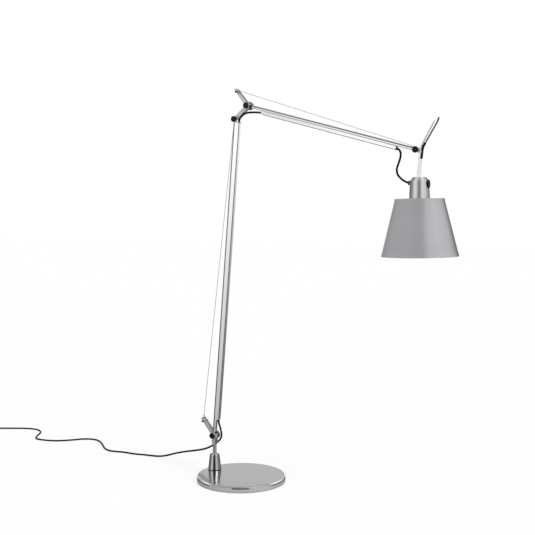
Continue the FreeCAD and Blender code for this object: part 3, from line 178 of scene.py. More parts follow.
def enclosed_volume(mesh, points):
    """The sum of a . (b x c) / 6 over the triangles: negative where the faces point inwards."""
    mesh.calc_loop_triangles()
    index = np.empty(len(mesh.loop_triangles) * 3, np.int32)
    mesh.loop_triangles.foreach_get("vertices", index)
    a, b, c = points[index].reshape(-1, 3, 3).transpose(1, 0, 2)
    return (a * np.cross(b, c)).sum() / 6


def make_piece(name, mesh, *materials):
    """An object at the origin for a finished mesh."""
    piece = bpy.data.objects.new(name, mesh)
    for material in materials:
        mesh.materials.append(material)
    bpy.context.scene.collection.objects.link(piece)
    print(f"{name}: {len(mesh.polygons)} faces")
    return piece


def joined(name, meshes):
    """One mesh from several, with their materials' numbers kept."""
    whole = bpy.data.meshes.new(name)
    points, faces, marks, uvs, start = [], [], [], [], 0
    for mark, mesh in meshes:
        points += [tuple(v.co) for v in mesh.vertices]
        faces += [[k + start for k in face.vertices] for face in mesh.polygons]
        marks += [mark] * len(mesh.polygons)
        uv = np.empty(len(mesh.loops) * 2, np.float32)
        mesh.uv_layers[0].data.foreach_get("uv", uv)
        uvs.append(uv)
        start = len(points)
    whole.from_pydata(points, [], faces)
    whole.uv_layers.new(name="UVMap").data.foreach_set("uv", np.concatenate(uvs))
    whole.polygons.foreach_set("material_index", marks)
    whole.shade_smooth()
    whole.set_sharp_from_angle(angle=math.radians(40))
    return whole


# %% Tubes and turned shapes
SIDEWAYS = np.array((0.0, 1.0, 0.0))


def unit(vectors):
    return vectors / np.linalg.norm(vectors, axis=-1, keepdims=True)


def tube(name, path, radius, sides=16):
    """Rings about a path: p + r (cos v A + sin v B), with A and B across the path's own direction.

    A is the direction crossed with a fixed sideways vector, which none of the paths runs along.
    The radius may be one number, or one for each point of the path."""
    along = unit(np.gradient(path, axis=0))
    across = unit(np.cross(along, SIDEWAYS))
    rise = np.cross(across, along)
    v = np.linspace(0, 2 * math.pi, sides, endpoint=False)[None, :, None]
    thick = np.broadcast_to(radius, len(path))[:, None, None]
    grid = path[:, None] + thick * (np.cos(v) * across[:, None] + np.sin(v) * rise[:, None])
    length = np.linalg.norm(np.diff(path, axis=0), axis=1).sum()
    girth = 2 * math.pi * float(np.mean(radius))
    return surface(name, grid, size=(girth, length), lids=True)


def turned(name, place, profile, sides=64, loop=True, wave=None):
    """A profile of radius and height carried round an axis: (r cos v, r sin v, h), placed in the room.

    place gets the two coordinates across the axis and the one along it. wave(v) scales the radius."""
    v = np.linspace(0, 2 * math.pi, sides, endpoint=False)
    outline = np.array(profile, float)
    radius = outline[:, 0][:, None] * (1 if wave is None else wave(outline, v))
    height = np.broadcast_to(outline[:, 1][:, None], (len(outline), sides))
    grid = place(radius * np.cos(v), radius * np.sin(v), height)
    length = np.linalg.norm(np.diff(outline, axis=0), axis=1).sum()
    return surface(name, grid, size=(2 * math.pi * outline[:, 0].max(), length), loop=loop, lids=not loop)


# %% [markdown]
# ## The lead's route
# A mains lead is a fixed length of stiff, heavy rope. It leaves the lower arm's channel, swings
# behind the stem, sags to the floor and wanders off in loose bends, and the spare length lies in
# a neat flat coil with the plug beside it. A quadratic NURBS spline through a few control points
# bends as such a lead does. A poly line would kink, and a Bezier curve needs two handles a point.

# %% The lead's points
CORD_RADIUS = 2.5 * MM
CORD_DROP = 9.2 * MM
METRE = 1000


def room(points):
    """Places in the room, written in millimetres as they were chosen."""
    return np.array(points, float) / METRE


def from_stem(points):
    """Places in the room, counted from the foot of the stem's axis."""
    return room(points) + np.array((STEM_X, STEM_Y, 0))


def from_pivot(pivot, offsets):
    """Places in the arms' plane, counted from a pivot."""
    dx, dz = np.array(offsets, float).T / METRE
    return np.stack([pivot[0] + dx, np.full(len(dx), STEM_Y), pivot[1] + dz], 1)


elbow_in = LOWER.place(823.5 * MM, 0, -CORD_DROP)
elbow_out = UPPER.place(41.5 * MM, 0, -CORD_DROP)
elbow_bend = from_pivot(ELBOW_HIGH, [(-21.8, -26.6), (-12.4, -19.6), (0.2, -17), (15.6, -17.2)])
elbow_meeting = (elbow_bend[1] + elbow_bend[2]) / 2
ELBOW_STRAIGHT = 6.5 * MM
elbow_low_route = [elbow_in, elbow_in + LOWER.along * ELBOW_STRAIGHT, *elbow_bend[:2], elbow_meeting]
elbow_high_route = [elbow_meeting, *elbow_bend[2:], elbow_out - UPPER.along * ELBOW_STRAIGHT, elbow_out]

GLAND = PlaneFrame(CUP.place(0, 0, -17.9 * MM)[[0, 2]], -79)
head_in = UPPER.place(419.9 * MM, 0, -CORD_DROP)
head_bend = from_pivot(HEAD_PIVOT, [
    (-40.2, -5), (-40.6, -17), (-45.8, -31), (-50.6, -44.5), (-48.2, -57), (-39.6, -66.5)])
gland_entry = GLAND.place(0, 0, 33.6 * MM)
gland_seat = GLAND.place(0, 0, 22.6 * MM)
head_route = [head_in, head_in + UPPER.along * 5 * MM, *head_bend, gland_entry, gland_seat]

foot_out = LOWER.place(44.5 * MM, 0, -CORD_DROP)
beside_stem = from_stem([(16.2, 1.8, 131), (16.5, 7, 116), (13.2, 14.2, 101.5)])
hanging = from_stem([
    (4, 18.5, 90), (-16, 22.5, 74.5), (-48, 30.5, 57.5), (-88, 40, 46), (-130, 49.5, 35.5),
    (-170, 59.5, 23), (-205, 68, 10)])
on_floor = from_stem([(x, y, 2.5) for x, y in [
    (-238, 74), (-278, 71), (-314, 63), (-353, 66), (-394, 55), (-427, 71), (-470, 115), (-513, 146),
    (-553, 138), (-580, 102), (-613, 72), (-653, 62), (-688, 63), (-709, 95), (-728, 136),
    (-764, 160), (-805, 155), (-845, 134), (-882, 114)]])
stem_meeting = (beside_stem[-1] + hanging[0]) / 2
floor_meeting = (on_floor[0] + on_floor[1]) / 2
upper_route = [foot_out, foot_out - LOWER.along * 8 * MM, *beside_stem, stem_meeting]
drop_route = [stem_meeting, *hanging, on_floor[0], floor_meeting]

# %% The coil's points
COIL_ENTRY = from_stem((-924, 88, 2.5))
COIL_HEADING = math.radians(212)
COIL_RADIUS = 27.3 * MM
COIL_STEP = 5.5 * MM
COIL_TURNS = 6
POINTS_A_TURN = 16
COIL_TAIL = 26 * MM

heading = np.array((math.cos(COIL_HEADING), math.sin(COIL_HEADING), 0))
left = np.array((-heading[1], heading[0], 0))
outer_radius = COIL_RADIUS + COIL_STEP * COIL_TURNS / 4
coil_centre = COIL_ENTRY + left * outer_radius


def coil_points(turns):
    """A flat spiral in and out again: r = inner + step |turns - middle|, one layer higher on the way out.

    The control points lie a little outside the circle, by 2 / (1 + cos(turn's share)), because a
    quadratic spline cuts inside its points by that much."""
    from_middle = turns - COIL_TURNS / 2
    radius = COIL_RADIUS - COIL_STEP * COIL_TURNS / 4 + COIL_STEP * abs(from_middle)
    radius = radius * 2 / (1 + math.cos(2 * math.pi / POINTS_A_TURN))
    share = np.clip(2 * from_middle + 0.5, 0, 1)
    rise = COIL_STEP * share * share * (3 - 2 * share)
    angle = COIL_HEADING - math.pi / 2 + 2 * math.pi * turns
    return coil_centre + np.stack([radius * np.cos(angle), radius * np.sin(angle), rise], 1)


half_step = 0.5 / POINTS_A_TURN
winding = coil_points(np.arange(half_step, COIL_TURNS, 1 / POINTS_A_TURN))
coil_end = coil_centre - left * outer_radius + np.array((0, 0, COIL_STEP))
lead_end = coil_end + heading * COIL_TAIL
floor_route = [floor_meeting, *on_floor[1:], COIL_ENTRY - heading * 26 * MM, COIL_ENTRY - heading * 10 * MM,
               *winding, coil_end + heading * 10 * MM, lead_end]
print("control points on the floor and in the coil:", len(floor_route))


# %% From points to cords
def spline_through(name, points, bevel=0):
    """A curve object with one quadratic NURBS spline that starts and ends at its end points."""
    curve = bpy.data.curves.new(name, "CURVE")
    curve.dimensions = "3D"
    spline = curve.splines.new("NURBS")
    spline.points.add(len(points) - 1)
    spline.points.foreach_set("co", np.c_[np.array(points), np.ones(len(points))].ravel())
    spline.order_u = 3
    spline.use_endpoint_u = True
    spline.resolution_u = curve.resolution_u = 8
    curve.bevel_depth = bevel
    curve.bevel_resolution = 4
    curve.use_fill_caps = bevel > 0
    piece = bpy.data.objects.new(name, curve)
    bpy.context.scene.collection.objects.link(piece)
    return piece


def read_line(points):
    """The smooth line of a route: the vertices that Blender gives for its spline without a bevel."""
    guide = spline_through("guide", points)
    mesh = bpy.data.meshes.new_from_object(guide)
    line = np.empty(len(mesh.vertices) * 3)
    mesh.vertices.foreach_get("co", line)
    bpy.data.objects.remove(guide)
    bpy.data.meshes.remove(mesh)
    return line.reshape(-1, 3)


def share_of_length(line):
    """How far along the line each point is, from 0 to 1."""
    runs = np.linalg.norm(np.diff(line, axis=0), axis=1)
    return np.concatenate([[0], np.cumsum(runs)]) / runs.sum()


def give_weights(piece):
    """Update the mesh of a tube. No shares of a turn are written to it."""
    piece.data.update()


CORD_SIDES = 16


def bending_cord(stretch, route, length, bodies, node, stiffness, bend_within=1.0):
    """A stretch of lead between two bodies that turn on each other.

    The share t of its own length is worked out, with bend_within as the share of the length in which
    the whole turn would happen, but t is not used and the tube is given no turn."""
    name = f"cord_{stretch}"
    line = read_line(route)
    piece = make_piece(name, tube(name, line, CORD_RADIUS, CORD_SIDES), cord_finish)
    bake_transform(piece)
    t = np.clip(share_of_length(line) / bend_within, 0, 1)
    give_weights(piece)
    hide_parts(node)


# %% [markdown]
# ## Finishes
# A finish is a tree of nodes. Written node by node it is long and hard to read, so one small
# class wraps an output, and plain sums on it add the Math nodes. Patterns are in object
# coordinates, which are metres here, or in the UV map of the cloth and the cords.

# %% A wire between nodes
class Wire:
    """An output in a node tree. A sum of wires and numbers adds Math nodes to the tree."""

    def __init__(self, tree, socket=None):
        self.tree = tree
        self.socket = socket

    def node(self, kind, settings=(), inputs=(), output=0):
        """Add a node: first its settings, then the values or links of its inputs."""
        made = self.tree.nodes.new(kind)
        for name, value in dict(settings).items():
            if name == "stops":
                set_stops(made.color_ramp, value)
            else:
                setattr(made, name, value)
        for name, value in dict(inputs).items():
            if isinstance(value, Wire):
                self.tree.links.new(value.socket, made.inputs[name])
            else:
                made.inputs[name].default_value = value
        return Wire(self.tree, made.outputs[output] if made.outputs else None)

    def maths(self, operation, *values):
        return self.node("ShaderNodeMath", {"operation": operation}, dict(enumerate(values)))

    def __add__(self, other):
        return self.maths("ADD", self, other)

    __radd__ = __add__

    def __sub__(self, other):
        return self.maths("SUBTRACT", self, other)

    def __rsub__(self, other):
        return self.maths("SUBTRACT", other, self)

    def __mul__(self, other):
        return self.maths("MULTIPLY", self, other)

    __rmul__ = __mul__

    def __truediv__(self, other):
        return self.maths("DIVIDE", self, other)

    def __pow__(self, other):
        return self.maths("POWER", self, other)

    def __gt__(self, other):
        return self.maths("GREATER_THAN", self, other)

    def __abs__(self):
        return self.maths("ABSOLUTE", self)

    def sine(self):
        return self.maths("SINE", self)

    def between(self, low, high):
        """0 below low, 1 above high and a smooth step between them."""
        return self.node("ShaderNodeMapRange", {"interpolation_type": "SMOOTHSTEP"},
                         {"Value": self, "From Min": low, "From Max": high})


def set_stops(ramp, stops):
    """Give a colour ramp these places and grey levels or colours."""
    while len(ramp.elements) < len(stops):
        ramp.elements.new(1)
    for element, (place, level) in zip(ramp.elements, stops):
        element.position = place
        element.color = (level, level, level, 1) if isinstance(level, (int, float)) else (*level, 1)


def grey(level):
    return (level, level, level, 1)


def mixed(factor, first, second):
    """A colour between two, through a Mix node, because a Math node would turn it grey."""
    start = next(value for value in (factor, first, second) if isinstance(value, Wire))
    return start.node("ShaderNodeMix", {"data_type": "RGBA"}, {0: factor, 6: first, 7: second}, output=2)


def noise(place, scale, detail=3.0, rough=0.5):
    return place.node("ShaderNodeTexNoise", {}, {
        "Vector": place, "Scale": scale, "Detail": detail, "Roughness": rough})


def multiplied(first, second):
    """The product of two colours."""
    return first.node("ShaderNodeMix", {"data_type": "RGBA", "blend_type": "MULTIPLY"}, {
        0: 1.0, 6: first, 7: second}, output=2)


def tinted(level, tint):
    return tuple(level * c for c in tint) + (1,)


def coordinates(tree, kind="Object"):
    return Wire(tree).node("ShaderNodeTexCoord", output=kind)


def split(place):
    """The three coordinates of a place as wires."""
    made = place.node("ShaderNodeSeparateXYZ", {}, {0: place})
    outputs = made.socket.node.outputs
    return [Wire(place.tree, outputs[k]) for k in range(3)]


def stretched(place, frame_of_arm, grain):
    """The place turned into an arm's frame and divided by the size of the grain along each axis."""
    origin = (frame_of_arm.origin[0], STEM_Y, frame_of_arm.origin[1])
    return place.node("ShaderNodeMapping", {"vector_type": "TEXTURE"}, {
        "Vector": place, "Location": origin, "Rotation": (0, frame_of_arm.angle, 0), "Scale": grain})


def seen_from_camera(x, y):
    """A direction in the room as its sideways part and its part towards the photographer."""
    sideways = x * math.cos(CAMERA_TURN) + y * math.sin(CAMERA_TURN)
    facing = x * math.sin(CAMERA_TURN) - y * math.cos(CAMERA_TURN)
    return sideways, facing


def side_of(place, centre):
    """How far to the side of an upright axis a place is: (1 + sin a) / 2.

    The angle a is counted from the side that the photograph is taken from. Tones that follow it are
    painted light and shade for that side: they don't come from the lights, and they stay put in every
    other view."""
    x, y, _ = split(place)
    x = x - centre[0]
    y = y - centre[1]
    sideways, _ = seen_from_camera(x, y)
    return sideways / (x * x + y * y) ** 0.5 * 0.5 + 0.5


def empty_material(name):
    material = bpy.data.materials.new(name)
    material.use_nodes = True
    material.node_tree.nodes.clear()
    return material


def new_finish(name, kind="Object"):
    """An empty material, and the place on the surface that its patterns follow."""
    material = empty_material(name)
    return material, coordinates(material.node_tree, kind)


def finish_with(material, base, roughness, height=None, depth=0.0001, strength=1.0, **constants):
    """End a tree: a Principled shader, with a Bump node where a height is given."""
    start = Wire(material.node_tree)
    inputs = {"Base Color": base, "Roughness": roughness}
    if height is not None:
        inputs["Normal"] = start.node("ShaderNodeBump", {}, {
            "Strength": strength, "Distance": depth, "Height": height})
    inputs.update({name.replace("_", " "): value for name, value in constants.items()})
    shader = start.node("ShaderNodeBsdfPrincipled", {}, inputs)
    start.node("ShaderNodeOutputMaterial", {}, {"Surface": shader})
    return material


# %% [markdown]
# ### Metals
# The metal parts mirror the room, with faint smudges where hands and cloths have been. The arms
# are drawn profiles with a fine grain along them: noise squeezed across the arm, in the roughness
# and a shallow bump. Some tones are painted light and shade after the photograph, not given by the
# lights: painted reflections in the bands of the socket and the cup, painted highlights, dark
# reflection lines and shade at the edge of the base, painted dark lines and a painted drift of shade
# along the arms, and painted shade on the far leg of the handle.

# %% Polished metals
HAIRLINE = 0.00002


def polished(name, level, rough, grain=900.0, tint=(1.0, 1.0, 1.0)):
    """A mirror finish with faint smudges and hairline scratches."""
    material, place = new_finish(name)
    smudge = noise(place, 22, 4, 0.6)
    fine = noise(place, grain, 2)
    base = mixed(smudge, tinted(level * 0.93, tint), tinted(level, tint))
    roughness = rough + 0.09 * smudge.between(0.42, 0.72) + 0.03 * fine
    return finish_with(material, base, roughness, fine, HAIRLINE, 0.25, Metallic=1.0)


# The base's edge in metres: radii from the flat top outwards, and then heights. A pair is a step
# that starts and ends there, and four numbers are a band with its lower and its upper step. The
# four-number bands are painted dark reflection lines.
DARK_BAND_START = (0.1095, 0.1105)
TOP_END = (0.1121, 0.1126)
WALL_TOP = (0.0130, 0.0140)
RIM_HIGHLIGHT_FOOT = (0.0130, 0.0136)
SIDE_DARK_LINE = (0.0098, 0.0106, 0.0124, 0.0130)
FRONT_DARK_LINE = (0.0096, 0.0104, 0.0132, 0.0138)
FOOT_SHADE_EDGE = (0.0022, 0.0042)


def spun(name, level, rough):
    """The base's cover, polished on a spindle: fine rings about its axis, and smudges over them.

    The edge carries painted light as the photograph shows it: painted highlights on the rims with a
    painted dark reflection line under them at the photograph's left and right, a darker painted band
    on the top before the edge except at the sides, a short painted dark line in front, a pale wall and
    painted shade along the lower edge."""
    material, place = new_finish(name)
    x, y, z = split(place)
    radius = (x * x + y * y) ** 0.5
    rings = noise(place.node("ShaderNodeCombineXYZ", {}, {0: radius * 2600, 1: z * 400}), 1, 2)
    smudge = noise(place, 9, 5, 0.6)
    sideways, facing = seen_from_camera(x / radius, y / radius)
    edge = radius.between(*TOP_END)
    to_sides = abs(sideways).between(0.60, 0.76)
    # A darker painted band on the top before the edge, left out at the sides: a painted reflection.
    painted_dark_band = radius.between(*DARK_BAND_START) * (1 - to_sides)
    wall = edge * (1 - z.between(*WALL_TOP))
    # Painted highlights on the rims at the left and right.
    rim = edge * to_sides * z.between(*RIM_HIGHLIGHT_FOOT)
    # Painted dark reflection lines under the rims, at the left and right.
    painted_side_line = edge * to_sides * z.between(*SIDE_DARK_LINE[:2]) * (1 - z.between(*SIDE_DARK_LINE[2:]))
    # A short painted dark reflection line in front.
    in_front = (facing > 0) * (1 - abs(sideways - 0.01).between(0.17, 0.20))
    painted_front_line = edge * in_front * z.between(*FRONT_DARK_LINE[:2]) * (1 - z.between(*FRONT_DARK_LINE[2:]))
    # Painted shade along the lower edge of the wall.
    foot = edge * (1 - z.between(*FOOT_SHADE_EDGE))
    base = mixed(smudge, grey(level * 0.95), grey(level))
    base = mixed(wall, base, (0.47, 0.465, 0.45, 1))
    base = mixed(painted_dark_band * (1 - wall), base, grey(0.30))
    base = mixed(rim, base, grey(0.98))
    base = mixed(painted_side_line * 0.9, base, grey(0.05))
    base = mixed(painted_front_line * 0.85, base, (0.13, 0.115, 0.11, 1))
    base = mixed(foot * 0.6, base, grey(0.2))
    roughness = rough + 0.05 * rings + 0.07 * smudge.between(0.45, 0.7) + 0.32 * wall + 0.2 * painted_dark_band
    metal = 1 - wall * 0.8 * (1 - painted_side_line) * (1 - painted_front_line)
    return finish_with(material, base, roughness, rings, 0.00001, 0.2, Metallic=metal)


def painted_reflection_bands(name, rough, centre, bands):
    """Metal with painted reflections: upright light and dark bands round its own axis, the same in front
    as behind.

    bands are places from 0 at the photograph's left limb to 1 at the right one, each with its tone."""
    material, place = new_finish(name)
    side = side_of(place, centre)
    smudge = noise(place, 22, 4, 0.6)
    tones = side.node("ShaderNodeValToRGB", {"stops": bands}, {0: side})
    base = mixed(smudge * 0.2, tones, grey(0.3))
    fine = noise(place, 900, 2)
    return finish_with(material, base, rough + 0.08 * smudge, fine, HAIRLINE, 0.25, Metallic=1.0)


def brushed(name, start_level, end_level, rough, frame_of_arm, lines, grain=(0.09, 0.0005, 0.0005)):
    """A drawn profile: noise squeezed across the arm to lines of grain, and a slow drift of tone.

    The tone goes from start_level to end_level along the arm as painted shade. lines are painted
    reflections, dark lines along its sides: the height of each in the arm's frame, its half width and
    its tone."""
    material, place = new_finish(name)
    fibres = noise(stretched(place, frame_of_arm, grain), 1, 3, 0.6)
    drift = noise(stretched(place, frame_of_arm, (0.3, 0.02, 0.02)), 1, 2)
    along, across, up = split(stretched(place, frame_of_arm, (1, 1, 1)))
    # Painted shade: the tone changes from start_level to end_level along the arm.
    level = mixed(along.between(0.02, 0.4), grey(start_level), grey(end_level))
    base = mixed((drift * 0.5 + fibres * 0.5) * 0.12, level, grey(0.45))
    on_side = abs(across).between(3.5 * MM, 3.9 * MM)
    # Painted reflections: dark lines along the arm's sides.
    for height, half_width, tone in lines:
        painted_dark_line = 1 - abs(up - height * MM).between(half_width * 0.7 * MM, half_width * MM)
        base = mixed(painted_dark_line * on_side, base, grey(tone))
    return finish_with(material, base, rough + 0.14 * fibres, fibres, 0.00004, 0.35, Metallic=1.0)


def drawn_wire(name, level, far_level, rough):
    """The handle's wire: polished, with painted shade on the far leg, darkest at the tip, as photographed.
    """
    material, place = new_finish(name)
    _, y, z = split(place)
    fine = noise(place, 1400, 2)
    smudge = noise(place, 40, 3)
    # Painted shade on the far leg, darker still towards the tip.
    painted_far_leg_shade = (y - STEM_Y).between(0.5 * MM, 2.5 * MM) * z.between(0.84, 0.86)
    tip = z.between(0.91, 0.935)
    bright = mixed(smudge, grey(level * 0.95), grey(level))
    far_leg_shade_tone = mixed(tip, grey(far_level), grey(far_level * 0.35))
    roughness = rough + 0.08 * smudge + 0.1 * painted_far_leg_shade
    return finish_with(material, mixed(painted_far_leg_shade, bright, far_leg_shade_tone), roughness, fine, HAIRLINE, 0.25, Metallic=1.0)


base_finish = spun("polished_base_painted_edge", 0.40, 0.13)
# The socket and the cup carry painted reflections in upright light and dark bands.
socket_finish = painted_reflection_bands("socket_painted_reflections", 0.22, (STEM_X, STEM_Y), [
    (0.0, 0.05), (0.035, 0.07), (0.09, 0.26), (0.20, 0.2), (0.25, 0.62), (0.385, 0.62), (0.415, 0.004),
    (0.585, 0.004), (0.615, 0.56), (0.74, 0.5), (0.80, 0.2), (0.91, 0.28), (0.965, 0.07), (1.0, 0.05)])
cup_finish = painted_reflection_bands("cup_painted_reflections", 0.24, (CUP.origin[0], STEM_Y), [
    (0.0, 0.22), (0.04, 0.36), (0.10, 0.30), (0.15, 0.52), (0.30, 0.62), (0.36, 0.5), (0.43, 0.32),
    (0.47, 0.34), (0.55, 0.68), (0.74, 0.58), (0.82, 0.36), (0.92, 0.24), (0.97, 0.08), (1.0, 0.06)])
plate_finish = polished("polished_plate", 0.54, 0.46, 1400)
yoke_finish = polished("polished_yoke", 0.96, 0.5, 1400)
wire_finish = drawn_wire("polished_wire", 1.0, 0.20, 0.38)
hub_finish = polished("polished_hub", 0.52, 0.10)
stem_finish = polished("polished_stem", 0.62, 0.2)
screw_finish = polished("bright_screws", 0.42, 0.24, 2200)
bolt_finish = polished("bright_bolts", 0.95, 0.4, 1800)
lower_finish = brushed("drawn_lower_arm", 0.95, 0.97, 0.16, LOWER, [
    (RAIL - 1.6, 2.0, 0.16), (1.4 - DUCT, 1.9, 0.2)])
upper_finish = brushed("drawn_upper_arm", 0.62, 0.97, 0.16, UPPER, [
    (RAIL - 1.7, 2.4, 0.2), (0.8 - RAIL, 1.4, 0.34), (0.7 - DUCT, 1.0, 0.3)])
nickel_finish = polished("nickel_pins", 0.62, 0.16, 1800, (1.0, 0.96, 0.9))
cast_finish = polished("cast_weight", 0.12, 0.6, 500)


# %% [markdown]
# ### Plastics, enamel, glass and felt
# The knobs and the switch are moulded in black with a fine spark-eroded grain, which a noise bump
# of a few hundredths of a millimetre gives. The washers are pale nylon, the shade's frame is
# white enamel, the bulb is opal glass and the foot of the base is dark felt.

# %% Moulded and painted finishes
def moulded(name, level, rough, grain=1600.0, depth=0.00003, tint=(1.0, 1.0, 1.0), gloss=0.5):
    """Plastic from an eroded mould: even grain, slightly rubbed in large soft patches."""
    material, place = new_finish(name)
    pits = noise(place, grain, 3, 0.6)
    rubbed = noise(place, 60, 3)
    base = mixed(rubbed, tinted(level, tint), tinted(level * 1.35, tint))
    roughness = rough - 0.12 * rubbed.between(0.5, 0.75) + 0.05 * pits
    return finish_with(material, base, roughness, pits, depth, 0.5, Specular_IOR_Level=gloss)


def collared(name, level, rough, collar_end):
    """A moulded knob on a bright metal collar, told apart by the distance from the arms' plane."""
    material, place = new_finish(name)
    _, y, _ = split(place)
    metal = 1 - abs(y - STEM_Y).between(collar_end, collar_end + 0.1 * MM)
    pits = noise(place, 1600, 3, 0.6)
    rubbed = noise(place, 60, 3)
    base = mixed(metal, mixed(rubbed, grey(level), grey(level * 1.4)), grey(0.9))
    return finish_with(material, base, rough + 0.05 * pits - 0.2 * metal, pits, 0.00003, 0.5,
                       Metallic=metal, Specular_IOR_Level=0.16)


def felt(name, level):
    """Short matted fibres: two noises of different size in colour and bump."""
    material, place = new_finish(name)
    fibres = noise(place, 1400, 5, 0.75)
    patches = noise(place, 120, 3)
    base = mixed(fibres * 0.7 + patches * 0.3, grey(level * 0.5), grey(level * 1.6))
    return finish_with(material, base, 0.95, fibres, 0.0003, 0.8)


def opal_glass(name):
    """Glass with a white coating inside: nearly even, with a slight drift and a soft gloss."""
    material, place = new_finish(name)
    drift = noise(place, 35, 2)
    base = mixed(drift, (0.86, 0.86, 0.84, 1), (0.93, 0.93, 0.92, 1))
    return finish_with(material, base, 0.16 + 0.08 * drift, noise(place, 300, 2), 0.00002, 0.2,
                       Coat_Weight=0.4, Coat_Roughness=0.08)


black_finish = moulded("black_plastic", 0.004, 0.42, gloss=0.1)
knob_finish = collared("knobs", 0.005, 0.42, 11.3 * MM)
cap_finish = moulded("grey_cap", 0.09, 0.5)
nylon_finish = moulded("nylon", 0.62, 0.45, 900, tint=(1.0, 1.0, 0.96))
enamel_finish = moulded("white_enamel", 0.6, 0.3, 500, 0.00002)
felt_finish = felt("dark_felt", 0.03)
bulb_finish = opal_glass("opal_bulb")


# %% [markdown]
# ### Cord, cable and cloth
# The lead has a smooth black sheath with a slight waviness along it. A steel cable is twisted
# from wires, so slanting ridges run round it: a sine of the length plus a share of the angle.
# The shade's cloth is a plain weave. Its threads are sines along and across, and where a product
# of two sines is positive the warp lies on top, as in the real cloth. The hollows between the threads
# are painted darker as shade, and broad bands of painted light and shade lie over it where the
# photograph shows them.

# %% Cord and cable finishes
CABLE_RADIUS = 0.6 * MM
TWIST_PITCH = 9 * MM


def sheath(name):
    """Black vinyl: soft gloss, a slow waviness along the length, and light scuffs."""
    material, place = new_finish(name)
    scuffs = noise(place, 140, 4, 0.65)
    fine = noise(place, 1900, 2)
    base = mixed(scuffs.between(0.55, 0.8), grey(0.004), grey(0.010))
    roughness = 0.48 + 0.16 * scuffs + 0.04 * fine
    return finish_with(material, base, roughness, scuffs * 0.7 + fine * 0.3, 0.00006, 0.4,
                       Specular_IOR_Level=0.1)


def twisted_steel(name, girth):
    """Seven wires twisted together: ridges |sin(7 pi (u / girth + v / pitch))|, with painted highlights
    on the crests and painted shade in the grooves between the wires.
    """
    material, place = new_finish(name, "UV")
    u, v, _ = split(place)
    wires = 7 * math.pi
    height = abs((u * (wires / girth) + v * (wires / TWIST_PITCH)).sine())
    # Painted shade in the grooves between the wires, painted highlights on the crests.
    base = mixed(height, grey(0.26), grey(0.38))
    return finish_with(material, base, 0.42 - 0.08 * height, height, 0.0001, 0.4, Metallic=1.0)


cord_finish = sheath("black_lead")
cable_finish = twisted_steel("steel_cable", 2 * math.pi * CABLE_RADIUS)


# %% Woven cloth
THREAD = 0.55 * MM
THREAD_RELIEF = 0.00012


def woven(name, warp_level, weft_level, tint):
    """Plain weave from the UV map, which measures the cloth in metres, under broad bands of painted light
    and shade.
    """
    material, place = new_finish(name, "UV")
    u, v, _ = split(place)
    warp = (u * (math.pi / THREAD)).sine()
    weft = (v * (math.pi / THREAD)).sine()
    warp_on_top = (warp * weft) > 0
    height = warp_on_top * abs(warp) + (1 - warp_on_top) * abs(weft)
    along = place.node("ShaderNodeMapping", {}, {"Vector": place, "Scale": (1 / THREAD, 40, 1)})
    across = place.node("ShaderNodeMapping", {}, {"Vector": place, "Scale": (40, 1 / THREAD, 1)})
    slubs = warp_on_top * noise(along, 0.6, 2) + (1 - warp_on_top) * noise(across, 0.6, 2)
    cloud = noise(place, 25, 3)
    tone = (slubs * 0.75 + cloud * 0.25).between(0.3, 0.7)
    dark = tinted(warp_level, tint)
    light = tinted(weft_level, tint)
    # The hollows between the threads are painted darker: painted shade.
    thread_hollow_shade = tinted(0.7, dark[:3])
    shaded = mixed((1 - height) ** 2.0 * 0.4, mixed(tone, dark, light), thread_hollow_shade)
    # Broad bands of painted light and shade round the cone.
    side = side_of(coordinates(material.node_tree), (CUP.origin[0], STEM_Y))
    bands = side.node("ShaderNodeValToRGB", {"stops": [
        (0.0, 0.74), (0.05, 0.94), (0.14, 0.88), (0.27, 0.80), (0.38, 0.70), (0.47, 0.70), (0.56, 0.94),
        (0.68, 1.0), (0.82, 0.96), (0.89, 0.80), (0.93, 0.5), (0.97, 0.16), (1.0, 0.12)]}, {0: side})
    relief = height * 0.8 + slubs * 0.2
    return finish_with(material, multiplied(shaded, bands), 0.72 - 0.12 * height, relief, THREAD_RELIEF, 0.7,
                       Sheen_Weight=0.08, Sheen_Roughness=0.4)


SHADE_TINT = (0.975, 0.97, 1.02)
cloth_finish = woven("shade_cloth", 0.42, 0.50, SHADE_TINT)
lining_finish = moulded("shade_lining", 0.62, 0.6, 700)

# %% [markdown]
# ## Cords
# Each stretch that crosses a pivot is a tube along its route. Those at the elbow and the head are
# declared limp, because the photograph bends them more than a mains lead should bend. The length
# on the floor and the coil ride on the base as one curve.

# %% Stretches of lead that cross a pivot
for stretch in [
        ("elbow_low", elbow_low_route, 0.0334, ("lower_arm", "elbow"), "elbow_lead_low", "limp"),
        ("elbow_high", elbow_high_route, 0.0441, ("elbow", "upper_arm"), "elbow_lead_high", "limp"),
        ("head", head_route, 0.1068, ("upper_arm", "head"), "head_lead", "limp"),
        ("beside_stem", upper_route, 0.0608, ("lower_arm", "stem"), "lead_upper", "medium"),
        ("drop", drop_route, 0.2928, ("stem", "base"), "lead_drop", "medium", 0.5)]:
    bending_cord(*stretch)

# %% Stretch on the floor, with the coil
floor_cord = spline_through("cord_floor", floor_route, CORD_RADIUS)
floor_cord.data.materials.append(cord_finish)
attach(floor_cord, "base")
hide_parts("lead_floor", "lead_coil")

# %% [markdown]
# ## Plug
# The plug is moulded in one with its strain relief: a flat body with soft corners that swells
# towards the grip, and a tapered neck with rings cut into it. Cross-sections that are
# superellipses, |x/a|^n + |y/b|^n = 1, give the soft corners without a bevel modifier.

# %% Plug body and pins
RING_DEPTH = 0.45
RING_PITCH = 3.5
PIN_HALF_GAP = 9.5 * MM


def plug_place(along, across, up):
    """A place counted from the lead's end: along the plug, across it and up."""
    return (lead_end + np.asarray(along)[..., None] * heading + np.asarray(across)[..., None] * left
            + np.asarray(up)[..., None] * np.array((0, 0, 1)))


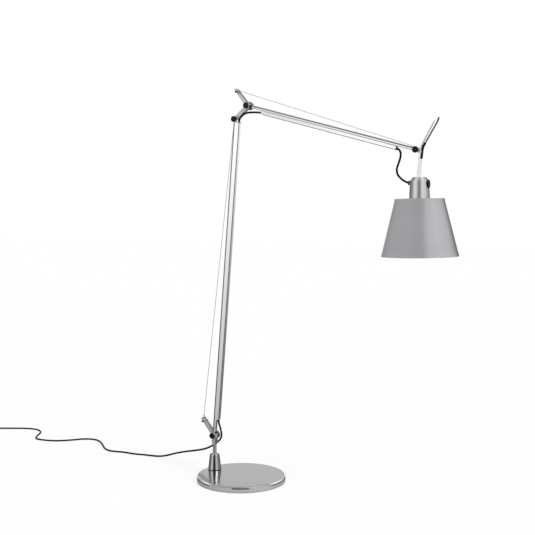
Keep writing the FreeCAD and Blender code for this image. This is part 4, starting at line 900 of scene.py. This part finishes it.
def plug_mesh():
    """Superellipse sections with half-widths that follow the plug's outline, and ringed at the neck."""
    stations = np.concatenate([np.linspace(-16, 12, 57), np.linspace(12.5, 48, 30)])
    marks = [-16, 8, 13, 20, 26.4, 40, 47, 48]
    half_width = np.interp(stations, marks, [2.9, 4.4, 7.2, 12.6, 15.6, 14.0, 12.8, 11.8])
    half_height = np.interp(stations, marks, [2.9, 4.2, 5.6, 7.2, 7.8, 7.8, 7.6, 6.8])
    on_neck = (stations < 8) * (stations > -14)
    rings = RING_DEPTH * (np.sin(stations * 2 * math.pi / RING_PITCH) > 0.3) * on_neck
    power = np.interp(stations, [8, 20], [2, 3.4])[:, None]
    angle = np.linspace(0, 2 * math.pi, 48, endpoint=False)
    round_x = np.sign(np.cos(angle)) * np.abs(np.cos(angle)) ** (2 / power)
    round_y = np.sign(np.sin(angle)) * np.abs(np.sin(angle)) ** (2 / power)
    along = np.broadcast_to(stations[:, None], round_x.shape)
    grid = plug_place(along * MM, (half_width - rings)[:, None] * round_x * MM,
                      (half_height - rings)[:, None] * round_y * MM)
    return surface("plug", grid, lids=True, sharp=50)


plug = make_piece("plug", plug_mesh(), black_finish)
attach(plug, "base")
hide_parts("plug_body")

PIN_PROFILE = [(0.2, 66.9), (1.2, 66.7), (1.8, 66), (2, 65), (2, 58), (2, 47), (0.2, 47)]
SLEEVE_PROFILE = [(2.02, 57.5), (2.2, 57.4), (2.25, 57), (2.25, 47), (2.02, 47)]


def pin_mesh(profile, side):
    """A profile of radius and distance along the plug, turned about one pin's axis."""
    shape = np.array(profile) * MM
    return turned("pin", lambda a, b, h: plug_place(h, a + side * PIN_HALF_GAP, b), shape, sides=20)


pins = joined("plug_contacts", [
    (mark, pin_mesh(profile, side)) for side in (-1, 1)
    for mark, profile in ((0, PIN_PROFILE), (1, SLEEVE_PROFILE))])
contacts = make_piece("plug_contacts", pins, nickel_finish, black_finish)
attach(contacts, "base")
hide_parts("plug_pins")

# %% [markdown]
# ## Tension cables
# A spring inside each rail pulls a thin steel cable over a small wheel and back to the tip of a
# lever, and that holds the arm up. When the arm tilts, one end stays on the lever's tip and the
# other goes with the arm, and the cable stays straight. A point at the distance s from the tip
# then follows the share s (A + L) / (L (A + s)) of the turn, where L is the length and A the
# distance of the tip from the pivot, counted along the cable. Here the free stretch is a straight
# tube that is given no share of the turn: A is worked out and not used.

# %% Cables
WHEEL_RADIUS = 4.0
TIP_DISTANCE = 54.2
EYE_RADIUS = 2.2 * MM
FERRULE_RADIUS = 1.25 * MM


def cable_run(arm_frame, arm_length, lever_angle):
    """The tip of the lever, and the points where the cable meets and leaves the wheel."""
    tip = TIP_DISTANCE * np.array((math.cos(lever_angle), math.sin(lever_angle)))
    wheel = np.array((arm_length - 11, 2))
    away = tip - wheel
    touch = math.atan2(away[1], away[0]) - math.acos(WHEEL_RADIUS / np.linalg.norm(away))
    over = np.linspace(touch, -math.pi / 2, 24)
    wrap = wheel + WHEEL_RADIUS * np.stack([np.cos(over), np.sin(over)], 1)
    inner = np.linspace(wrap[-1], (wrap[-1][0] - 60, 0), 4)[1:]
    flat = np.vstack([wrap, inner]) * MM
    tip_place = arm_frame.place(tip[0] * MM, 0, tip[1] * MM)
    return tip_place, arm_frame.place(flat[:, 0], 0, flat[:, 1])


def make_cable(name, arm_frame, arm_length, lever_angle, bodies, node, pivot):
    """The free stretch with its eye, and the stretch over the wheel that goes with the arm."""
    tip, wrap = cable_run(arm_frame, arm_length, lever_angle)
    way = unit(wrap[0] - tip)
    start = tip + way * EYE_RADIUS
    length = np.linalg.norm(wrap[0] - start)
    distance = np.concatenate([np.linspace(0, 9, 10) * MM, np.linspace(12 * MM, length, 40)])
    line = start + distance[:, None] * way
    thick = np.where((distance > 1 * MM) & (distance < 8.5 * MM), FERRULE_RADIUS, CABLE_RADIUS)
    free = make_piece(f"{name}_free", tube(name, line, thick, 10), cable_finish)
    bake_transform(free)
    centre = np.array((pivot[0], STEM_Y, pivot[1]))
    reach = float((tip - centre) @ way)
    give_weights(free)
    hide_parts(node)

    wrapped = make_piece(f"{name}_on_wheel", tube(name, wrap, CABLE_RADIUS, 10), cable_finish)
    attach(wrapped, bodies[1])

    turn = np.linspace(0, 2 * math.pi, 32, endpoint=False)
    ring = tip + 2.25 * MM * (np.cos(turn)[:, None] * arm_frame.along + np.sin(turn)[:, None] * arm_frame.up)
    outward = unit(ring - tip)
    around = np.linspace(0, 2 * math.pi, 10, endpoint=False)[None, :, None]
    grid = ring[:, None] + 0.6 * MM * (np.cos(around) * outward[:, None] + np.sin(around) * SIDEWAYS)
    eye = make_piece(f"{name}_eye", surface(name, grid, loop=True), cable_finish)
    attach(eye, bodies[0])


LEVER_LEAN = 39.3
LOWER_LEVER = math.radians(4.74 + LEVER_LEAN)
UPPER_LEVER = math.radians(90 + 15.24 + LEVER_LEAN)
make_cable("lower_tension", LOWER, 830.7, LOWER_LEVER, ("stem", "lower_arm"), "lower_cable", FOOT_PIVOT)
make_cable("upper_tension", UPPER, 469.5, UPPER_LEVER, ("elbow", "upper_arm"), "upper_cable", ELBOW_HIGH)

# %% [markdown]
# ## Caps on the cross pins
# Each lever has a cross pin, and a black rubber cap is pushed over its near end. The cap is a
# turned shape with a round rim, which catches one soft line of light.

# %% Pin caps
PIN_DISTANCE = 46.4 * MM
CAP_PROFILE = np.array([
    (0.1, 11.9), (0.1, 14.35), (1.7, 14.35), (2.2, 14.2), (2.5, 13.85), (2.6, 13.4), (2.6, 12.3),
    (2.45, 11.9)]) * MM


def make_pin_cap(name, arm_frame, lever_angle, body):
    """A cap on the pin of the lever that leaves the arm's pivot at this angle."""
    along = PIN_DISTANCE * math.cos(lever_angle)
    up = PIN_DISTANCE * math.sin(lever_angle)
    mesh = turned(name, lambda a, b, h: arm_frame.place(along + a, -h, up + b), CAP_PROFILE, sides=32)
    cap = make_piece(name, mesh, black_finish)
    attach(cap, body)


make_pin_cap("lower_pin_cap", LOWER, LOWER_LEVER, "stem")
make_pin_cap("upper_pin_cap", UPPER, UPPER_LEVER, "elbow")

# %% [markdown]
# ## Shade
# The shade is satin cloth laminated to a thin sheet, rolled into a cone and folded over a wire
# ring at each edge. A closed cross-section carried round the axis gives both faces at once. The
# folds stand a little proud, and so does the glued overlap at the back, where the cloth is double.

# %% Shade cloth
SHADE_TOP = np.array((57.0, -50.0))
SHADE_FOOT = np.array((90.0, -184.0))
CLOTH = 0.9
HEM_WIDTH = 6.0
HEM_HEIGHT = 0.55
OVERLAP_HALF = 5.0
OVERLAP_ANGLE = math.radians(110)


def shade_grid(sides=384, rows=72):
    """A closed loop of outer face, foot fold, inner face and top fold, turned round the axis.

    The outer face is the straight line from top to foot plus the folds' swell and a very slight
    waviness of the laminate, and the overlap adds a smooth step of a third of a millimetre."""
    slope = SHADE_FOOT - SHADE_TOP
    slant = np.linalg.norm(slope)
    outward = np.array((-slope[1], slope[0])) / slant
    s = np.linspace(0, 1, rows)
    s = 0.5 - 0.5 * np.cos(math.pi * s)
    from_edge = np.minimum(s, 1 - s) * slant
    over_hem = np.clip(from_edge, 0, HEM_WIDTH) / HEM_WIDTH - 0.35
    swell = HEM_HEIGHT * np.sqrt(np.clip(1 - over_hem ** 2 / 0.4225, 0, 1))
    outer_line = SHADE_TOP + s[:, None] * slope
    fold = np.linspace(0, math.pi, 9)[1:-1, None]
    foot_fold = SHADE_FOOT - outward * CLOTH / 2 + CLOTH / 2 * (
        np.cos(fold) * outward + np.sin(fold) * slope / slant)
    top_fold = SHADE_TOP - outward * CLOTH / 2 + CLOTH / 2 * (
        -np.cos(fold) * outward - np.sin(fold) * slope / slant)
    outline = np.vstack([outer_line, foot_fold, outer_line[::-1] - outward * CLOTH, top_fold])
    proud = np.concatenate([swell, np.full(7, swell[-1] * 0.5), np.zeros(rows), np.full(7, swell[0] * 0.5)])
    angle = np.linspace(0, 2 * math.pi, sides, endpoint=False)
    from_back = np.abs((angle - OVERLAP_ANGLE + math.pi) % (2 * math.pi) - math.pi) * 75
    lap = 0.35 / (1 + np.exp((from_back - OVERLAP_HALF) * 4))
    outer = (proud > 0)[:, None] + np.zeros(sides)
    across = np.linspace(0, 1, len(outline))[:, None]
    broad = 0.12 * np.sin(5 * angle + 3.1) * np.sin(2 * math.pi * across)
    waviness = broad + 0.07 * np.sin(11 * angle + 9 * across)
    offset = proud[:, None] + outer * (lap + waviness)
    radius = outline[:, 0][:, None] + offset * outward[0]
    height = outline[:, 1][:, None] + offset * outward[1]
    return radius * MM, height * MM, angle, rows


radius, height, angle, outer_rows = shade_grid()
shade_points = CUP.place(radius * np.cos(angle), radius * np.sin(angle), height)
shade_mesh = surface("shade_cloth", shade_points, size=(2 * math.pi * 0.0735, 0.29), loop=True, sharp=60)
face_rows = np.arange(len(shade_mesh.polygons)) // shade_points.shape[1]
lined = (face_rows > outer_rows + 5) & (face_rows < 2 * outer_rows + 7)
shade_mesh.polygons.foreach_set("material_index", lined.astype(np.int32))
shade = make_piece("shade_cloth", shade_mesh, cloth_finish, lining_finish)
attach(shade, "head")
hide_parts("shade")

# %% [markdown]
# ## Switch
# The rotary switch is a black knob with a fluted rim; the mark that shows where it points isn't made
# here. The radius follows a power of a cosine, which leaves round ridges with narrow grooves between
# them.

# %% Switch knob
FLUTES = 28
FLUTE_DEPTH = 0.035
SWITCH_BELOW_PIVOT = 16 * MM


def switch_mesh():
    """A turned profile whose rim is r (1 - d |cos(n v / 2)|^3) where it is widest, with n flutes."""
    profile = np.array([
        (0.2, 18.6), (3, 18.6), (3, 21.2), (9.2, 21.2), (9.8, 21.4), (10, 21.7), (10, 22.6),
        (9.6, 23.3), (8.6, 23.7), (6.2, 23.7), (5.6, 23.4), (0.2, 23.4)]) * MM

    def flutes(outline, v):
        rim = (outline[:, 0] > 9.5 * MM)[:, None]
        return 1 - FLUTE_DEPTH * rim * np.abs(np.cos(FLUTES / 2 * v)) ** 3

    def on_cup(a, b, h):
        return CUP.place(h, a, b - SWITCH_BELOW_PIVOT)

    return turned("switch_dial", on_cup, profile, 168, wave=flutes)


switch = make_piece("switch_dial", switch_mesh(), black_finish)
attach(switch, "switch")
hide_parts("switch_knob")

# %% [markdown]
# ## Finishes of the CAD parts
# These parts have their true shape already, so they only need their finish.

# %% Give the CAD parts their finishes
NODE_FINISHES = {
    base_finish: ["base_cover"],
    cast_finish: ["base_weight"],
    felt_finish: ["base_pad"],
    socket_finish: ["stem_socket"],
    stem_finish: ["stem_rod", "stem_fork_block"],
    hub_finish: ["foot_hub_cap", "elbow_hub_cap"],
    plate_finish: ["base_lever_plate_near", "base_lever_plate_far", "elbow_plate_near", "elbow_plate_far"],
    yoke_finish: ["head_yoke"],
    cup_finish: ["socket_cup"],
    wire_finish: ["handle_wire"],
    screw_finish: ["socket_screw", "base_lever_pins", "foot_pivot_bolt", "lower_arm_pins",
                   "lower_arm_spring", "elbow_lever_pins", "elbow_high_bolt", "upper_arm_pins",
                   "upper_arm_spring"],
    bolt_finish: ["elbow_low_bolt", "head_pivot_bolt"],
    lower_finish: ["lower_arm_tube"],
    upper_finish: ["upper_arm_tube"],
    cap_finish: ["lower_duct_cap", "upper_duct_cap"],
    nylon_finish: ["socket_bush", "foot_washers", "elbow_washers", "lower_arm_pulley", "upper_arm_pulley"],
    knob_finish: ["foot_knob", "elbow_low_knob", "elbow_high_knob", "head_knob"],
    black_finish: ["handle_sleeve", "cord_gland", "lamp_holder", "holder_ring"],
    enamel_finish: ["shade_frame"],
    bulb_finish: ["bulb"],
    cord_finish: ["lower_arm_cord", "upper_arm_cord"],
}
for material, names in NODE_FINISHES.items():
    for name in names:
        for material_slot in NODES[name].material_slots:
            material_slot.material = material
finished = sum(len(names) for names in NODE_FINISHES.values())
print("CAD parts with a finish:", finished, "of", len(NODES))

# %% [markdown]
# ## Studio
# The photograph is cut out on white. A pale floor takes a soft shadow, and rays that come
# straight from the camera or from a mirror finish see white, so that the metal shows the studio.
# Polished metal looks grey only where it mirrors something dark, so for mirror rays alone the
# room has dark strips between its white panels, as a photographer's black flags give.

# %% Floor
def ray_kind(start, kind):
    """1 for the camera's, mirrors' or glass's rays, and 0 for all others."""
    return start.node("ShaderNodeLightPath", output=f"Is {kind} Ray")


def floor_finish():
    """A pale floor: diffuse paint that keeps the shadow, partly white to the camera, open to mirrors.

    Rays from a mirror finish pass through it, so that the metal shows the studio's panels."""
    material = empty_material("studio_floor")
    start = Wire(material.node_tree)
    direct = ray_kind(start, "Camera") + ray_kind(start, "Transmission")
    paint = start.node("ShaderNodeBsdfDiffuse", {}, {"Color": grey(0.86)})
    white = start.node("ShaderNodeEmission", {}, {"Color": grey(1.0), "Strength": 1.06})
    seen = direct.maths("MINIMUM", direct, 1) * FLOOR_WHITE
    blend = start.node("ShaderNodeMixShader", {}, {0: seen, 1: paint, 2: white})
    clear = start.node("ShaderNodeBsdfTransparent")
    blend = start.node("ShaderNodeMixShader", {}, {0: ray_kind(start, "Glossy"), 1: blend, 2: clear})
    start.node("ShaderNodeOutputMaterial", {}, {"Surface": blend})
    return material


FLOOR_WHITE = 0.72
FLOOR_HALF = 15
corner = np.array([[(-1, -1, 0), (1, -1, 0)], [(-1, 1, 0), (1, 1, 0)]], float) * FLOOR_HALF
corner[..., 2] = -0.1 * MM
floor = make_piece("studio_floor", surface("studio_floor", corner, ring=False), floor_finish())
floor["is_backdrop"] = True

# %% World
LOW_LIGHT = 0.5
OVERHEAD = 0.92


def studio_world():
    """White to the camera, plain grey to diffuse rays, and white panels with dark strips to mirrors.

    The strips depend on the angle round the upright from the photographer's side: atan2 of the
    sideways and the facing part of the ray's direction. Near the floor the panels get less light
    and stand between wider dark gaps."""
    world = bpy.data.worlds.new("studio")
    world.use_nodes = True
    tree = world.node_tree
    tree.nodes.clear()
    start = Wire(tree)
    x, y, z = split(start.node("ShaderNodeTexCoord", output="Generated"))
    sideways, facing = seen_from_camera(x, y)
    angle = facing.maths("ARCTAN2", sideways, facing) / (2 * math.pi) + 0.5
    low_panels = angle.node("ShaderNodeValToRGB", {"stops": [
        (0.0, 0.3), (0.27, 0.16), (0.30, 0.95), (0.425, 0.95), (0.437, 0.01), (0.563, 0.01), (0.575, 1.0),
        (0.70, 0.95), (0.73, 0.2), (1.0, 0.3)]}, {0: angle})
    high_panels = angle.node("ShaderNodeValToRGB", {"stops": [
        (0.0, 0.9), (0.05, 0.9), (0.09, 0.18), (0.14, 0.3), (0.19, 0.92), (0.37, 0.96), (0.425, 0.5),
        (0.465, 0.5), (0.515, 1.0), (0.855, 0.97), (0.885, 0.2), (0.93, 0.16), (0.96, 0.9), (1.0, 0.9)]},
        {0: angle})
    dimmed = multiplied(low_panels, grey(LOW_LIGHT))
    panels = mixed(z.between(-0.24, 0.02), dimmed, high_panels)
    mirrored = mixed(z.between(0.35, 0.75), panels, grey(OVERHEAD))
    seen = mixed(ray_kind(start, "Glossy"), grey(0.55), mirrored)
    seen = mixed(ray_kind(start, "Transmission"), seen, grey(1.0))
    seen = mixed(ray_kind(start, "Camera"), seen, grey(1.0))
    background = start.node("ShaderNodeBackground", {}, {"Color": seen, "Strength": 1.0})
    start.node("ShaderNodeOutputWorld", {}, {"Surface": background})
    bpy.context.scene.world = world


studio_world()


# %% Lamps
def soft_sun(name, power, tip, turn, softness):
    """A distant lamp: tipped from overhead and turned about the upright, with a wide soft disc."""
    data = bpy.data.lights.new(name, "SUN")
    data.energy = power
    data.angle = math.radians(softness)
    lamp = bpy.data.objects.new(name, data)
    lamp.rotation_euler = (math.radians(tip), 0, math.radians(turn))
    bpy.context.scene.collection.objects.link(lamp)


soft_sun("key_light", 1.5, 48, 75, 35)
soft_sun("fill_light", 0.5, 55, -35, 60)

# %% [markdown]
# ## Finish
# The photograph shows plain tones, so the picture keeps them: the Standard view adds no film curve.
# How far the box of the dressed lamp grew past the box of the CAD model is printed.

# %% View, sizes and the end
bpy.context.scene.view_settings.view_transform = "Standard"
made_low, made_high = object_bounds()
grown = np.array([cad_low - made_low, made_high - cad_high])
print("box grew by (mm):", np.round(grown * METRE, 2).tolist())
